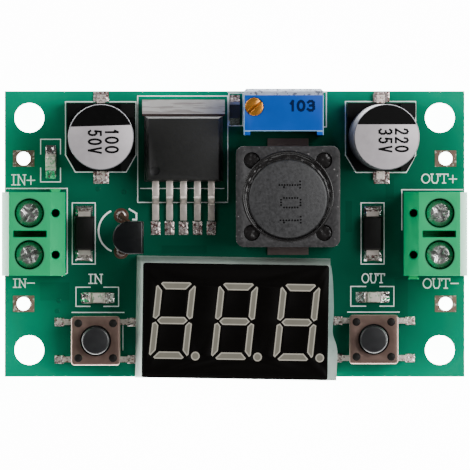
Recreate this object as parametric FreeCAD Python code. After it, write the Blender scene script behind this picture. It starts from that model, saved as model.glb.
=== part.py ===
import FreeCAD, Part
import math
import os

# Step-down converter module with a three-digit voltage display.
# All sizes are in millimetres. The origin is the centre of the mounting holes on the
# board's underside, +X points from the input terminal to the output terminal, +Y to the
# capacitors' edge and +Z up out of the component side.

Vector = FreeCAD.Vector

# Board
BOARD_LENGTH = 56.0
BOARD_WIDTH = 34.8
BOARD_THICKNESS = 1.6
MOUNT_INSET_X = 3.0
MOUNT_INSET_Y = 3.25
MOUNT_HOLE_RADIUS = 1.8
COPPER_THICKNESS = 0.05
PIN_REACH_BELOW = 1.6
PIN_HOLE_CLEARANCE = 0.1
SOLDER_CONE_HEIGHT = 0.9
SOLDER_RING = 0.45
SOLDER_TIP_SPREAD = 0.09
SOLDER_SIDES = 6

# Bare pads for soldered wires
WIRE_PAD_INSET = 2.3
WIRE_PAD_TOP_Y = 9.18
WIRE_PAD_BOTTOM_Y = -8.51
WIRE_PAD_LENGTH = 2.6
WIRE_PAD_WIDTH = 2.0
WIRE_HOLE_RADIUS = 0.82

# Electrolytic capacitors in surface-mount cans
CAN_RADIUS = 4.0
CAN_TOP = 10.2
CAN_EDGE = 0.25
CAN_BEAD_DEPTH = 0.35
CAN_BEAD_HALF_WIDTH = 0.45
CAN_BEAD_ABOVE_SEAT = 1.85
CAN_SEAT_SIDE = 8.3
CAN_SEAT_FLOOR = 0.9
CAN_POST_TOP = 2.0
CAN_POST_CUT_HALF = 2.4
CAN_CHAMFER_X = 1.1
CAN_CHAMFER_Y = 1.9
CAN_CLEARANCE = 0.05
CAN_LEAD_WIDTH = 1.0
CAN_LEAD_THICKNESS = 0.2
CAN_LEAD_INNER = 1.2
CAN_LEAD_BEYOND = 1.0
CAN_STUB_SIDE = 0.6
CAN_STUB_Y = 1.6
CAN_SOLDER_WIDTH = 1.8
CAN_SOLDER_HEIGHT = 0.12
CAN_SOLDER_START = 4.25
INPUT_CAN_X = -16.28
INPUT_CAN_Y = 11.8
OUTPUT_CAN_X = 17.77
OUTPUT_CAN_Y = 11.8
OUTPUT_CAN_LEAN = 4.3

# Power regulator in a five-lead tab package
REGULATOR_X = -6.22
REGULATOR_Y = 10.35
REGULATOR_WIDTH = 9.6
REGULATOR_DEPTH = 8.0
REGULATOR_HEIGHT = 4.45
REGULATOR_PARTING = 1.9
REGULATOR_TOP_DRAFT = 0.5
REGULATOR_BOTTOM_DRAFT = 0.15
REGULATOR_END_DRAFT = 0.25
REGULATOR_DIMPLE_RADIUS = 0.54
REGULATOR_DIMPLE_DEPTH = 0.12
REGULATOR_DIMPLE_X = -3.45
REGULATOR_DIMPLE_Y = -2.63
TAB_WIDTH = 10.07
TAB_LENGTH = 2.0
TAB_THICKNESS = 1.27
TAB_INSIDE_WIDTH = 8.2
TAB_INSIDE_LENGTH = 6.4
REGULATOR_LEADS = 5
REGULATOR_LEAD_PITCH = 1.7
REGULATOR_LEAD_WIDTH = 0.84
REGULATOR_LEAD_THICKNESS = 0.5
REGULATOR_LEAD_HEIGHT = 2.4
REGULATOR_LEAD_STRAIGHT = 1.9
REGULATOR_LEAD_DROP_RUN = 0.6
REGULATOR_LEAD_REACH = 4.72
REGULATOR_LEAD_INSIDE = 0.5
REGULATOR_LEAD_BEND = 0.45

# Shielded power inductor
INDUCTOR_X = 6.51
INDUCTOR_Y = 4.55
INDUCTOR_LENGTH = 12.7
INDUCTOR_WIDTH = 12.3
INDUCTOR_TOP = 8.0
INDUCTOR_CORNER = 1.0
INDUCTOR_BORE_RADIUS = 5.3
INDUCTOR_LOBE_RADIUS = 1.0
INDUCTOR_LOBE_OFFSET = 4.4
DRUM_OFFSET_Y = -0.3
DRUM_RADIUS = 4.87
DRUM_CORE_RADIUS = 2.6
DRUM_FLANGE = 1.4
DRUM_BELOW_SHIELD = 0.15
DRUM_EDGE = 0.2
WINDING_RADIUS = 4.55
CLIP_WIDTH = 5.0
CLIP_THICKNESS = 0.3
CLIP_INNER = 4.3
CLIP_BEYOND = 0.95

# Multi-turn trimmer
TRIMMER_LEFT = 1.11
TRIMMER_FRONT = 12.05
TRIMMER_LENGTH = 9.74
TRIMMER_DEPTH = 4.85
TRIMMER_TOP = 10.0
TRIMMER_STANDOFF = 0.4
TRIMMER_RIB_WIDTH = 0.8
TRIMMER_RIB_DEPTH = 0.47
TRIMMER_WALL = 0.5
TRIMMER_FLOOR = 0.8
TRIMMER_ROOF = 1.5
TRIMMER_POTTING = 0.79
TRIMMER_POTTING_MARGIN = 0.25
TRIMMER_POTTING_EDGE = 0.32
TRIMMER_SCREW_X = 1.29
TRIMMER_SCREW_Y = 3.45
TRIMMER_HEAD_RADIUS = 1.09
TRIMMER_HEAD_DEPTH = 0.9
TRIMMER_HEAD_PROUD = 0.12
TRIMMER_SLOT_WIDTH = 0.36
TRIMMER_SLOT_DEPTH = 0.4
TRIMMER_SLOT_TURN = 45.0
TRIMMER_SHAFT_RADIUS = 0.5
TRIMMER_RUNNING_GAP = 0.05
TRIMMER_SLIDER_LENGTH = 3.3
TRIMMER_SLIDER_HEIGHT = 1.6
TRIMMER_TRAVEL = 2.5
TRIMMER_ELEMENT_THICKNESS = 0.6
TRIMMER_ELEMENT_LEFT = 2.1
TRIMMER_ELEMENT_RIGHT = 0.6
TRIMMER_PIN_PITCH = 2.54
TRIMMER_PIN_SIDE = 0.45

# Two-pole screw terminals
TERMINAL_INSET = 3.0
TERMINAL_PITCH = 5.08
TERMINAL_LENGTH = 10.2
TERMINAL_HEIGHT = 10.0
TERMINAL_BACK = 4.4
TERMINAL_FRONT = 3.35
TERMINAL_TOP_BACK = 2.55
TERMINAL_TOP_FRONT = 2.5
TERMINAL_BACK_DROP = 2.6
TERMINAL_FRONT_DROP = 3.6
TERMINAL_FLOOR = 0.5
WELL_RADIUS = 1.8
WEB_THICKNESS = 0.55
CHAMBER_WIDTH = 3.5
CHAMBER_BACK = 2.45
CHAMBER_FRONT = 2.2
ENTRY_WIDTH = 3.0
ENTRY_BOTTOM = 0.9
ENTRY_TOP = 4.6
BARRIER_SLOT_WIDTH = 0.8
BARRIER_SLOT_BACK = 2.1
BARRIER_SLOT_FRONT = 1.95
BARRIER_SLOT_BOTTOM = 5.0
TEST_HOLE_X = 3.2
TEST_HOLE_RADIUS = 0.51
TEST_HOLE_BOTTOM = 4.0
TONGUE_X = 3.2
TONGUE_REACH = 0.42
TONGUE_ROOT = 1.0
TONGUE_TIP = 1.4
TONGUE_TOP = 7.0
TONGUE_CLEARANCE = 0.06
CAGE_LENGTH = 2.8
CAGE_WIDTH = 3.3
CAGE_SIDE = 0.35
CAGE_BOTTOM = 0.6
CAGE_SILL = 0.6
CAGE_BAR = 0.8
CAGE_WINDOW = 2.7
CAGE_TRAVEL = 1.75
CONTACT_BOTTOM = 3.1
CONTACT_THICKNESS = 0.6
CONTACT_WIDTH = 2.2
CONTACT_FRONT = 1.5
LEG_LENGTH = 0.7
LEG_WIDTH = 1.0
TERMINAL_SCREW_RADIUS = 1.25
TERMINAL_HEAD_RADIUS = 1.62
TERMINAL_HEAD_HEIGHT = 1.6
TERMINAL_HEAD_EDGE = 0.45
DRIVE_SLOT_WIDTH = 0.55
DRIVE_CROSS_LENGTH = 1.94
DRIVE_SLOT_DEPTH = 0.7
RUNNING_GAP = 0.05

# Rectifier diodes
INPUT_DIODE_X = -18.3
OUTPUT_DIODE_X = 16.82
DIODE_Y = 0.08
DIODE_LENGTH = 4.2
DIODE_WIDTH = 2.5
DIODE_HEIGHT = 2.2
DIODE_PARTING = 1.1
DIODE_DRAFT = 0.2
DIODE_LEAD_WIDTH = 1.5
DIODE_LEAD_THICKNESS = 0.2
DIODE_LEAD_OUT = 0.45
DIODE_LEAD_INSIDE = 0.5
DIODE_LEAD_UNDER = 0.9
DIODE_SOLDER_TOP = 0.66
DIODE_SOLDER_CREST = 0.1
DIODE_PAD_WIDTH = 2.05
DIODE_PAD_REACH = 3.35

# Small three-lead regulator standing on its leads
SMALL_REGULATOR_FLAT_X = -11.04
SMALL_REGULATOR_Y = -0.46
SMALL_REGULATOR_WIDTH = 4.02
SMALL_REGULATOR_DEPTH = 3.86
SMALL_REGULATOR_SLAB = 1.06
SMALL_REGULATOR_HEIGHT = 4.6
SMALL_REGULATOR_STANDOFF = 2.3
SMALL_REGULATOR_DRAFT = 0.15
SMALL_LEAD_SIDE = 0.45
SMALL_LEAD_PITCH_TOP = 1.27
SMALL_LEAD_PITCH_BOARD = 2.19
SMALL_LEAD_BOARD_X = -13.81
SMALL_LEAD_BOARD_Y = 0.05
SMALL_LEAD_UPRIGHT = 0.4

# Indicator lights and chip resistors
CHIP_LENGTH = 2.0
CHIP_WIDTH = 1.3
CHIP_BASE_HEIGHT = 0.4
CHIP_LENS_LENGTH = 1.3
CHIP_LENS_HEIGHT = 0.85
CHIP_LENS_DRAFT = 0.08
POWER_LIGHT = (-22.40, 8.76)
INPUT_LIGHT = (-16.69, -7.80)
OUTPUT_LIGHT = (16.81, -7.71)
RESISTOR_HEIGHT = 0.55
RESISTOR_LENGTH = 2.0
RESISTOR_WIDTH = 1.25
TOP_RESISTOR = (0.02, 15.1)
CHIP_FILLET_REACH = 0.85
CHIP_FILLET_HEIGHT = 0.5

# Three-digit display
DISPLAY_X = 0.10
DISPLAY_Y = -10.66
DISPLAY_TURN = -0.89
DISPLAY_LENGTH = 22.67
DISPLAY_WIDTH = 14.0
DISPLAY_HEIGHT = 7.2
DISPLAY_FLARE_LEFT = 0.79
DISPLAY_FLARE_TOP = 0.85
DISPLAY_FLARE_RIGHT = 0.1
DISPLAY_FLARE_BOTTOM = 0.05
FACE_THICKNESS = 0.5
FACE_CORNER = 0.35
DIGITS = 3
DIGIT_PITCH = 7.58
DIGIT_OFFSET = -0.10
DIGIT_SLANT = 5.3
SEGMENT_SPREAD = 2.03
SEGMENT_RISE = 4.235
SEGMENT_THICKNESS = 0.88
SEGMENT_SIDE_THICKNESS = 0.77
SEGMENT_GAP = 0.17
SEGMENT_CUT = 0.2
POINT_X = 2.86
POINT_Y = -4.29
POINT_RADIUS = 0.53
DISPLAY_PIN_PITCH = 2.54
DISPLAY_ROW_Y = 5.08
DISPLAY_TOP_PINS = 6
DISPLAY_BOTTOM_PINS = 5
DISPLAY_PIN_SIDE = 0.5
FILLER_RECESS = 1.2
FILLER_MARGIN = 1.0
DISPLAY_PIN_ROOT = 0.96
SQUEEZE_BOTTOM = 0.3
SQUEEZE_TOP = 5.6
SQUEEZE_OVERLAP = 0.6
SQUEEZE_WAVES = (
    (DISPLAY_WIDTH / 2, 0.2), (5.6, 0.42), (3.6, 0.56), (0.4, 0.6),
    (-1.6, 0.62), (-2.6, 0.98), (-4.6, 1.14), (-DISPLAY_WIDTH / 2, 1.08),
)

# Push switches
INPUT_SWITCH = (-16.93, -13.01)
OUTPUT_SWITCH = (16.96, -12.84)
SWITCH_SIDE = 6.0
SWITCH_BASE_TOP = 3.1
SWITCH_BASE_CORNER = 0.3
COVER_THICKNESS = 0.3
COVER_CORNER = 0.45
COVER_SKIRT_WIDTH = 4.4
COVER_SKIRT_BOTTOM = 1.4
COVER_HOLE_RADIUS = 1.87
BUTTON_RADIUS = 1.7
BUTTON_TOP = 5.0
BUTTON_FLANGE_RADIUS = 2.25
BUTTON_FLANGE_THICKNESS = 0.45
BUTTON_SLACK = 0.02
BUTTON_EDGE = 0.15
BUTTON_NUB_RADIUS = 0.7
SWITCH_WELL_RADIUS = 2.45
SWITCH_WELL_FLOOR = 1.6
DOME_RADIUS = 2.3
DOME_CROWN_RADIUS = 1.1
DOME_RISE = 0.42
DOME_THICKNESS = 0.1
SWITCH_LEAD_PITCH = 4.55
SWITCH_LEAD_WIDTH = 0.7
SWITCH_LEAD_THICKNESS = 0.2
SWITCH_LEAD_HEIGHT = 1.0
SWITCH_LEAD_REACH = 4.72
SWITCH_LEAD_INSIDE = 0.5
SWITCH_LEAD_BEND_X = 3.6

# Controller chip and its small parts on the underside
CONTROLLER_X = 4.6
CONTROLLER_Y = 2.6
CONTROLLER_LENGTH = 6.5
CONTROLLER_WIDTH = 4.4
CONTROLLER_HEIGHT = 1.0
CONTROLLER_STANDOFF = 0.1
CONTROLLER_LEADS_PER_SIDE = 10
CONTROLLER_LEAD_PITCH = 0.65
CONTROLLER_LEAD_WIDTH = 0.22
CONTROLLER_LEAD_THICKNESS = 0.12
CONTROLLER_LEAD_REACH = 1.0
CONTROLLER_LEAD_INSIDE = 0.2
CONTROLLER_LEAD_KNEE = 0.35
CONTROLLER_LEAD_HEEL = 0.45
CONTROLLER_DRAFT = 0.08
UNDERSIDE_RESISTORS = ((-2.5, 4.6), (-2.5, 2.4), (11.6, 4.6), (11.6, 2.4), (-7.2, 3.5))

# Worked-out places and heights
MOUNT_PITCH_X = BOARD_LENGTH - 2 * MOUNT_INSET_X
MOUNT_PITCH_Y = BOARD_WIDTH - 2 * MOUNT_INSET_Y
WIRE_PAD_X = BOARD_LENGTH / 2 - WIRE_PAD_INSET
TERMINAL_WELL_X = BOARD_LENGTH / 2 - TERMINAL_INSET
BOARD_TOP = BOARD_THICKNESS
PIN_TIP = -PIN_REACH_BELOW
WEB_BOTTOM = CAGE_BOTTOM + CAGE_SILL + CAGE_WINDOW + CAGE_BAR + CAGE_TRAVEL + 2 * RUNNING_GAP
WEB_TOP = WEB_BOTTOM + WEB_THICKNESS
DRIVE_TOP = WEB_TOP + RUNNING_GAP + TERMINAL_HEAD_HEIGHT


def box(x0, x1, y0, y1, z0, z1):
    return Part.makeBox(x1 - x0, y1 - y0, z1 - z0, Vector(x0, y0, z0))


def disc(x, y, z0, z1, radius):
    return Part.makeCylinder(radius, z1 - z0, Vector(x, y, z0))


def polygon_prism(points, direction):
    wire = Part.makePolygon(list(points) + [points[0]])
    return Part.Face(wire).extrude(direction)


def plan_prism(points, z0, z1):
    return polygon_prism([Vector(x, y, z0) for x, y in points], Vector(0, 0, z1 - z0))


def rectangle_wire(x0, x1, y0, y1, z):
    corners = [Vector(x0, y0, z), Vector(x1, y0, z), Vector(x1, y1, z), Vector(x0, y1, z)]
    return Part.makePolygon(corners + [corners[0]])


def ruled_block(sections):
    wires = [rectangle_wire(*section) for section in sections]
    return Part.makeLoft(wires, True, True)


def vertical_edges(shape):
    found = []
    for edge in shape.Edges:
        low = edge.BoundBox
        if low.XLength < 1e-6 and low.YLength < 1e-6:
            found.append(edge)
    return found


def rounded_box(x0, x1, y0, y1, z0, z1, radius):
    block = box(x0, x1, y0, y1, z0, z1)
    return block.makeFillet(radius, vertical_edges(block))


def turned(outline):
    """Solid of revolution about Z from a closed outline of (radius, z) points."""
    wire = Part.makePolygon([Vector(radius, 0, z) for radius, z in outline])
    solid = Part.Face(wire).revolve(Vector(0, 0, 0), Vector(0, 0, 1), 360)
    return solid if solid.Volume > 0 else solid.reversed()


def bent_strip(path, thickness, bend, place, direction):
    """Strip of even thickness along a bent path, as wide as direction is long; bend 0 is sharp."""
    half = thickness / 2
    sides = {1: [], -1: []}
    for index, point in enumerate(path):
        here = Vector(point[0], point[1], 0)
        before = None
        after = None
        if index > 0:
            before = here - Vector(path[index - 1][0], path[index - 1][1], 0)
            before.normalize()
        if index < len(path) - 1:
            after = Vector(path[index + 1][0], path[index + 1][1], 0) - here
            after.normalize()
        if before is None or after is None:
            along = after if before is None else before
            normal = Vector(-along.y, along.x, 0)
            for side in (1, -1):
                sides[side].append((here + normal * (half * side),))
            continue
        turn = math.atan2(before.cross(after).z, before.dot(after))
        hand = 1 if turn > 0 else -1
        tangent = bend * math.tan(abs(turn) / 2)
        start_normal = Vector(-before.y, before.x, 0)
        end_normal = Vector(-after.y, after.x, 0)
        middle_normal = start_normal + end_normal
        middle_normal.normalize()
        if bend == 0:
            mitre = half / math.cos(turn / 2)
            for side in (1, -1):
                sides[side].append((here + middle_normal * (mitre * side),))
            continue
        centre = here - before * tangent + start_normal * (bend * hand)
        for side in (1, -1):
            reach = bend - half * side * hand
            sides[side].append((
                centre - start_normal * (reach * hand),
                centre - middle_normal * (reach * hand),
                centre - end_normal * (reach * hand),
            ))
    edges = []
    loop = sides[1] + [tuple(reversed(step)) for step in reversed(sides[-1])]
    for index, step in enumerate(loop):
        if len(step) == 3:
            edges.append(Part.Arc(place(step[0]), place(step[1]), place(step[2])).toShape())
        following = loop[(index + 1) % len(loop)]
        edges.append(Part.LineSegment(place(step[-1]), place(following[0])).toShape())
    return Part.Face(Part.Wire(edges)).extrude(direction)


def moved(shape, x, y, z):
    copy = shape.copy()
    copy.translate(Vector(x, y, z))
    return copy


def turned_about(shape, point, axis, degrees):
    copy = shape.copy()
    copy.rotate(point, axis, degrees)
    return copy


def group(shapes):
    return Part.makeCompound(list(shapes))


def save(name, shape):
    shape.exportStep("parts/" + name + ".step")


def pin_box(x, y, side, z0, z1):
    half = side / 2
    return box(x - half, x + half, y - half, y + half, z0, z1)


def ring_wire(x, y, z, radius, sides):
    corners = []
    for index in range(sides + 1):
        turn = math.radians(360 * index / sides)
        corners.append(Vector(x + radius * math.cos(turn), y + radius * math.sin(turn), z))
    return Part.makePolygon(corners)


def solder_cone(x, y, reach, pin):
    """Solder fillet round a pin under the board, with the pin's own shape left out."""
    low = ring_wire(x, y, -SOLDER_CONE_HEIGHT, reach + SOLDER_TIP_SPREAD, SOLDER_SIDES)
    high = ring_wire(x, y, 0, reach + SOLDER_RING, SOLDER_SIDES)
    return Part.makeLoft([low, high], True, True).cut(pin)


pin_holes = []
solder = []
diode_leads = []


def through_pin(x, y, hole_radius, pin):
    """Notes the board hole and the solder that one pin needs."""
    pin_holes.append((x, y, hole_radius))
    solder.append(solder_cone(x, y, hole_radius - PIN_HOLE_CLEARANCE, pin))


# Wire pads: tinned copper rectangles on both sides joined by a plated barrel
def wire_pads():
    pads = []
    for x in (-WIRE_PAD_X, WIRE_PAD_X):
        for y in (WIRE_PAD_BOTTOM_Y, WIRE_PAD_TOP_Y):
            upper = box(
                x - WIRE_PAD_LENGTH / 2, x + WIRE_PAD_LENGTH / 2,
                y - WIRE_PAD_WIDTH / 2, y + WIRE_PAD_WIDTH / 2,
                BOARD_TOP, BOARD_TOP + COPPER_THICKNESS,
            )
            lower = moved(upper, 0, 0, -BOARD_TOP - COPPER_THICKNESS)
            barrel = disc(x, y, 0, BOARD_TOP, WIRE_HOLE_RADIUS + COPPER_THICKNESS)
            bore = disc(x, y, -1, BOARD_TOP + 1, WIRE_HOLE_RADIUS)
            pads.append(upper.fuse([lower, barrel]).cut(bore).removeSplitter())
    return pads


# Capacitors: plastic seat with corner posts, crimped can and two flat leads
def capacitor_leads():
    half = CAN_LEAD_WIDTH / 2
    reach = CAN_SEAT_SIDE / 2 + CAN_LEAD_BEYOND
    leads = []
    for side in (1, -1):
        ends = sorted((side * CAN_LEAD_INNER, side * reach))
        strip = box(-half, half, ends[0], ends[1], 0, CAN_LEAD_THICKNESS)
        stub = pin_box(0, side * CAN_STUB_Y, CAN_STUB_SIDE, CAN_LEAD_THICKNESS, CAN_SEAT_FLOOR)
        leads.append(strip.fuse(stub).removeSplitter())
    return leads


def capacitor_seat(leads):
    half = CAN_SEAT_SIDE / 2
    outline = [
        (-half, half),
        (-half, -half + CAN_CHAMFER_Y),
        (-half + CAN_CHAMFER_X, -half),
        (half - CAN_CHAMFER_X, -half),
        (half, -half + CAN_CHAMFER_Y),
        (half, half),
    ]
    seat = plan_prism(outline, 0, CAN_POST_TOP)
    seat = seat.cut(disc(0, 0, CAN_SEAT_FLOOR, CAN_POST_TOP + 1, CAN_RADIUS + CAN_CLEARANCE))
    reach = CAN_SEAT_SIDE
    cut = CAN_POST_CUT_HALF
    seat = seat.cut(box(-cut, cut, -reach, reach, CAN_SEAT_FLOOR, CAN_POST_TOP + 1))
    seat = seat.cut(box(-reach, reach, -cut, cut, CAN_SEAT_FLOOR, CAN_POST_TOP + 1))
    return seat.cut(leads)


def capacitor_can():
    bottom = CAN_SEAT_FLOOR
    bead = bottom + CAN_BEAD_ABOVE_SEAT
    edge = CAN_EDGE
    return turned([
        (0, bottom),
        (CAN_RADIUS, bottom),
        (CAN_RADIUS, bead - CAN_BEAD_HALF_WIDTH),
        (CAN_RADIUS - CAN_BEAD_DEPTH, bead),
        (CAN_RADIUS, bead + CAN_BEAD_HALF_WIDTH),
        (CAN_RADIUS, CAN_TOP - edge),
        (CAN_RADIUS - edge, CAN_TOP),
        (0, CAN_TOP),
        (0, bottom),
    ])


def save_capacitor(name, x, y, lean):
    leads = capacitor_leads()
    pieces = {"seat": capacitor_seat(leads), "can": capacitor_can(), "leads": group(leads)}
    hinge_line = Vector(CAN_SEAT_SIDE / 2, 0, 0)
    for part_name, shape in pieces.items():
        leaned = turned_about(shape, hinge_line, Vector(0, 1, 0), lean)
        pieces[part_name] = moved(leaned, x, y, BOARD_TOP)
        save(name + "_" + part_name, pieces[part_name])
    lift = CAN_SEAT_SIDE / 2 * math.sin(math.radians(lean))
    for side in (1, -1):
        ends = sorted((side * CAN_SOLDER_START, side * (CAN_SOLDER_START + CAN_LEAD_BEYOND)))
        blob = box(
            x - CAN_SOLDER_WIDTH / 2, x + CAN_SOLDER_WIDTH / 2,
            y + ends[0], y + ends[1],
            BOARD_TOP, BOARD_TOP + CAN_SOLDER_HEIGHT + lift,
        )
        solder.append(blob.cut(pieces["leads"]))


# Power regulator: tapered moulding, heat tab and five formed leads
def save_regulator():
    half = REGULATOR_WIDTH / 2
    front = REGULATOR_DEPTH / 2
    low = REGULATOR_BOTTOM_DRAFT
    body = ruled_block([
        (-half + low, half - low, -front + low, front, 0),
        (-half, half, -front, front, REGULATOR_PARTING),
    ])
    upper = ruled_block([
        (-half, half, -front, front, REGULATOR_PARTING),
        (
            -half + REGULATOR_TOP_DRAFT, half - REGULATOR_TOP_DRAFT,
            -front + REGULATOR_END_DRAFT, front - REGULATOR_END_DRAFT,
            REGULATOR_HEIGHT,
        ),
    ])
    body = body.fuse(upper)
    dimple = disc(
        REGULATOR_DIMPLE_X, REGULATOR_DIMPLE_Y,
        REGULATOR_HEIGHT - REGULATOR_DIMPLE_DEPTH, REGULATOR_HEIGHT + 1,
        REGULATOR_DIMPLE_RADIUS,
    )
    body = body.cut(dimple)
    tab = box(-TAB_WIDTH / 2, TAB_WIDTH / 2, front, front + TAB_LENGTH, 0, TAB_THICKNESS)
    inside = box(
        -TAB_INSIDE_WIDTH / 2, TAB_INSIDE_WIDTH / 2,
        front - TAB_INSIDE_LENGTH, front, 0, TAB_THICKNESS,
    )
    tab = tab.fuse(inside).removeSplitter()
    leads = []
    path = [
        (-front + REGULATOR_LEAD_INSIDE, REGULATOR_LEAD_HEIGHT),
        (-front - REGULATOR_LEAD_STRAIGHT, REGULATOR_LEAD_HEIGHT),
        (-front - REGULATOR_LEAD_STRAIGHT - REGULATOR_LEAD_DROP_RUN, REGULATOR_LEAD_THICKNESS / 2),
        (-front - REGULATOR_LEAD_REACH, REGULATOR_LEAD_THICKNESS / 2),
    ]
    for index in range(REGULATOR_LEADS):
        x = (index - (REGULATOR_LEADS - 1) / 2) * REGULATOR_LEAD_PITCH
        left = x - REGULATOR_LEAD_WIDTH / 2
        leads.append(bent_strip(
            path, REGULATOR_LEAD_THICKNESS, REGULATOR_LEAD_BEND,
            lambda p, left=left: Vector(left, p.x, p.y), Vector(REGULATOR_LEAD_WIDTH, 0, 0),
        ))
    body = body.cut([tab] + leads)
    for name, shape in (("body", body), ("tab", tab), ("leads", group(leads))):
        save("regulator_" + name, moved(shape, REGULATOR_X, REGULATOR_Y, BOARD_TOP))


# Inductor: ferrite drum wound with copper inside a square ferrite shield
def save_inductor():
    half_x = INDUCTOR_LENGTH / 2
    half_y = INDUCTOR_WIDTH / 2
    shield = rounded_box(
        -half_x, half_x, -half_y, half_y, CLIP_THICKNESS, INDUCTOR_TOP, INDUCTOR_CORNER)
    bore = disc(0, 0, -1, INDUCTOR_TOP + 1, INDUCTOR_BORE_RADIUS)
    for side_x in (1, -1):
        for side_y in (1, -1):
            bore = bore.fuse(disc(
                side_x * INDUCTOR_LOBE_OFFSET, side_y * INDUCTOR_LOBE_OFFSET,
                -1, INDUCTOR_TOP + 1, INDUCTOR_LOBE_RADIUS,
            ))
    shield = shield.cut(bore)
    top = INDUCTOR_TOP - DRUM_BELOW_SHIELD
    floor = CLIP_THICKNESS
    lower_face = floor + DRUM_FLANGE
    upper_face = top - DRUM_FLANGE
    drum = turned([
        (0, floor),
        (DRUM_RADIUS, floor),
        (DRUM_RADIUS, lower_face),
        (DRUM_CORE_RADIUS, lower_face),
        (DRUM_CORE_RADIUS, upper_face),
        (DRUM_RADIUS, upper_face),
        (DRUM_RADIUS, top - DRUM_EDGE),
        (DRUM_RADIUS - DRUM_EDGE, top),
        (0, top),
        (0, floor),
    ])
    winding = turned([
        (DRUM_CORE_RADIUS, lower_face),
        (WINDING_RADIUS, lower_face),
        (WINDING_RADIUS, upper_face),
        (DRUM_CORE_RADIUS, upper_face),
        (DRUM_CORE_RADIUS, lower_face),
    ])
    clips = []
    for side in (1, -1):
        ends = sorted((side * CLIP_INNER, side * (half_y + CLIP_BEYOND)))
        clips.append(box(-CLIP_WIDTH / 2, CLIP_WIDTH / 2, ends[0], ends[1], 0, CLIP_THICKNESS))
    save("inductor_shield", moved(shield, INDUCTOR_X, INDUCTOR_Y, BOARD_TOP))
    save("inductor_drum", moved(drum, INDUCTOR_X, INDUCTOR_Y + DRUM_OFFSET_Y, BOARD_TOP))
    save("inductor_winding", moved(winding, INDUCTOR_X, INDUCTOR_Y + DRUM_OFFSET_Y, BOARD_TOP))
    save("inductor_clips", moved(group(clips), INDUCTOR_X, INDUCTOR_Y, BOARD_TOP))


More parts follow.
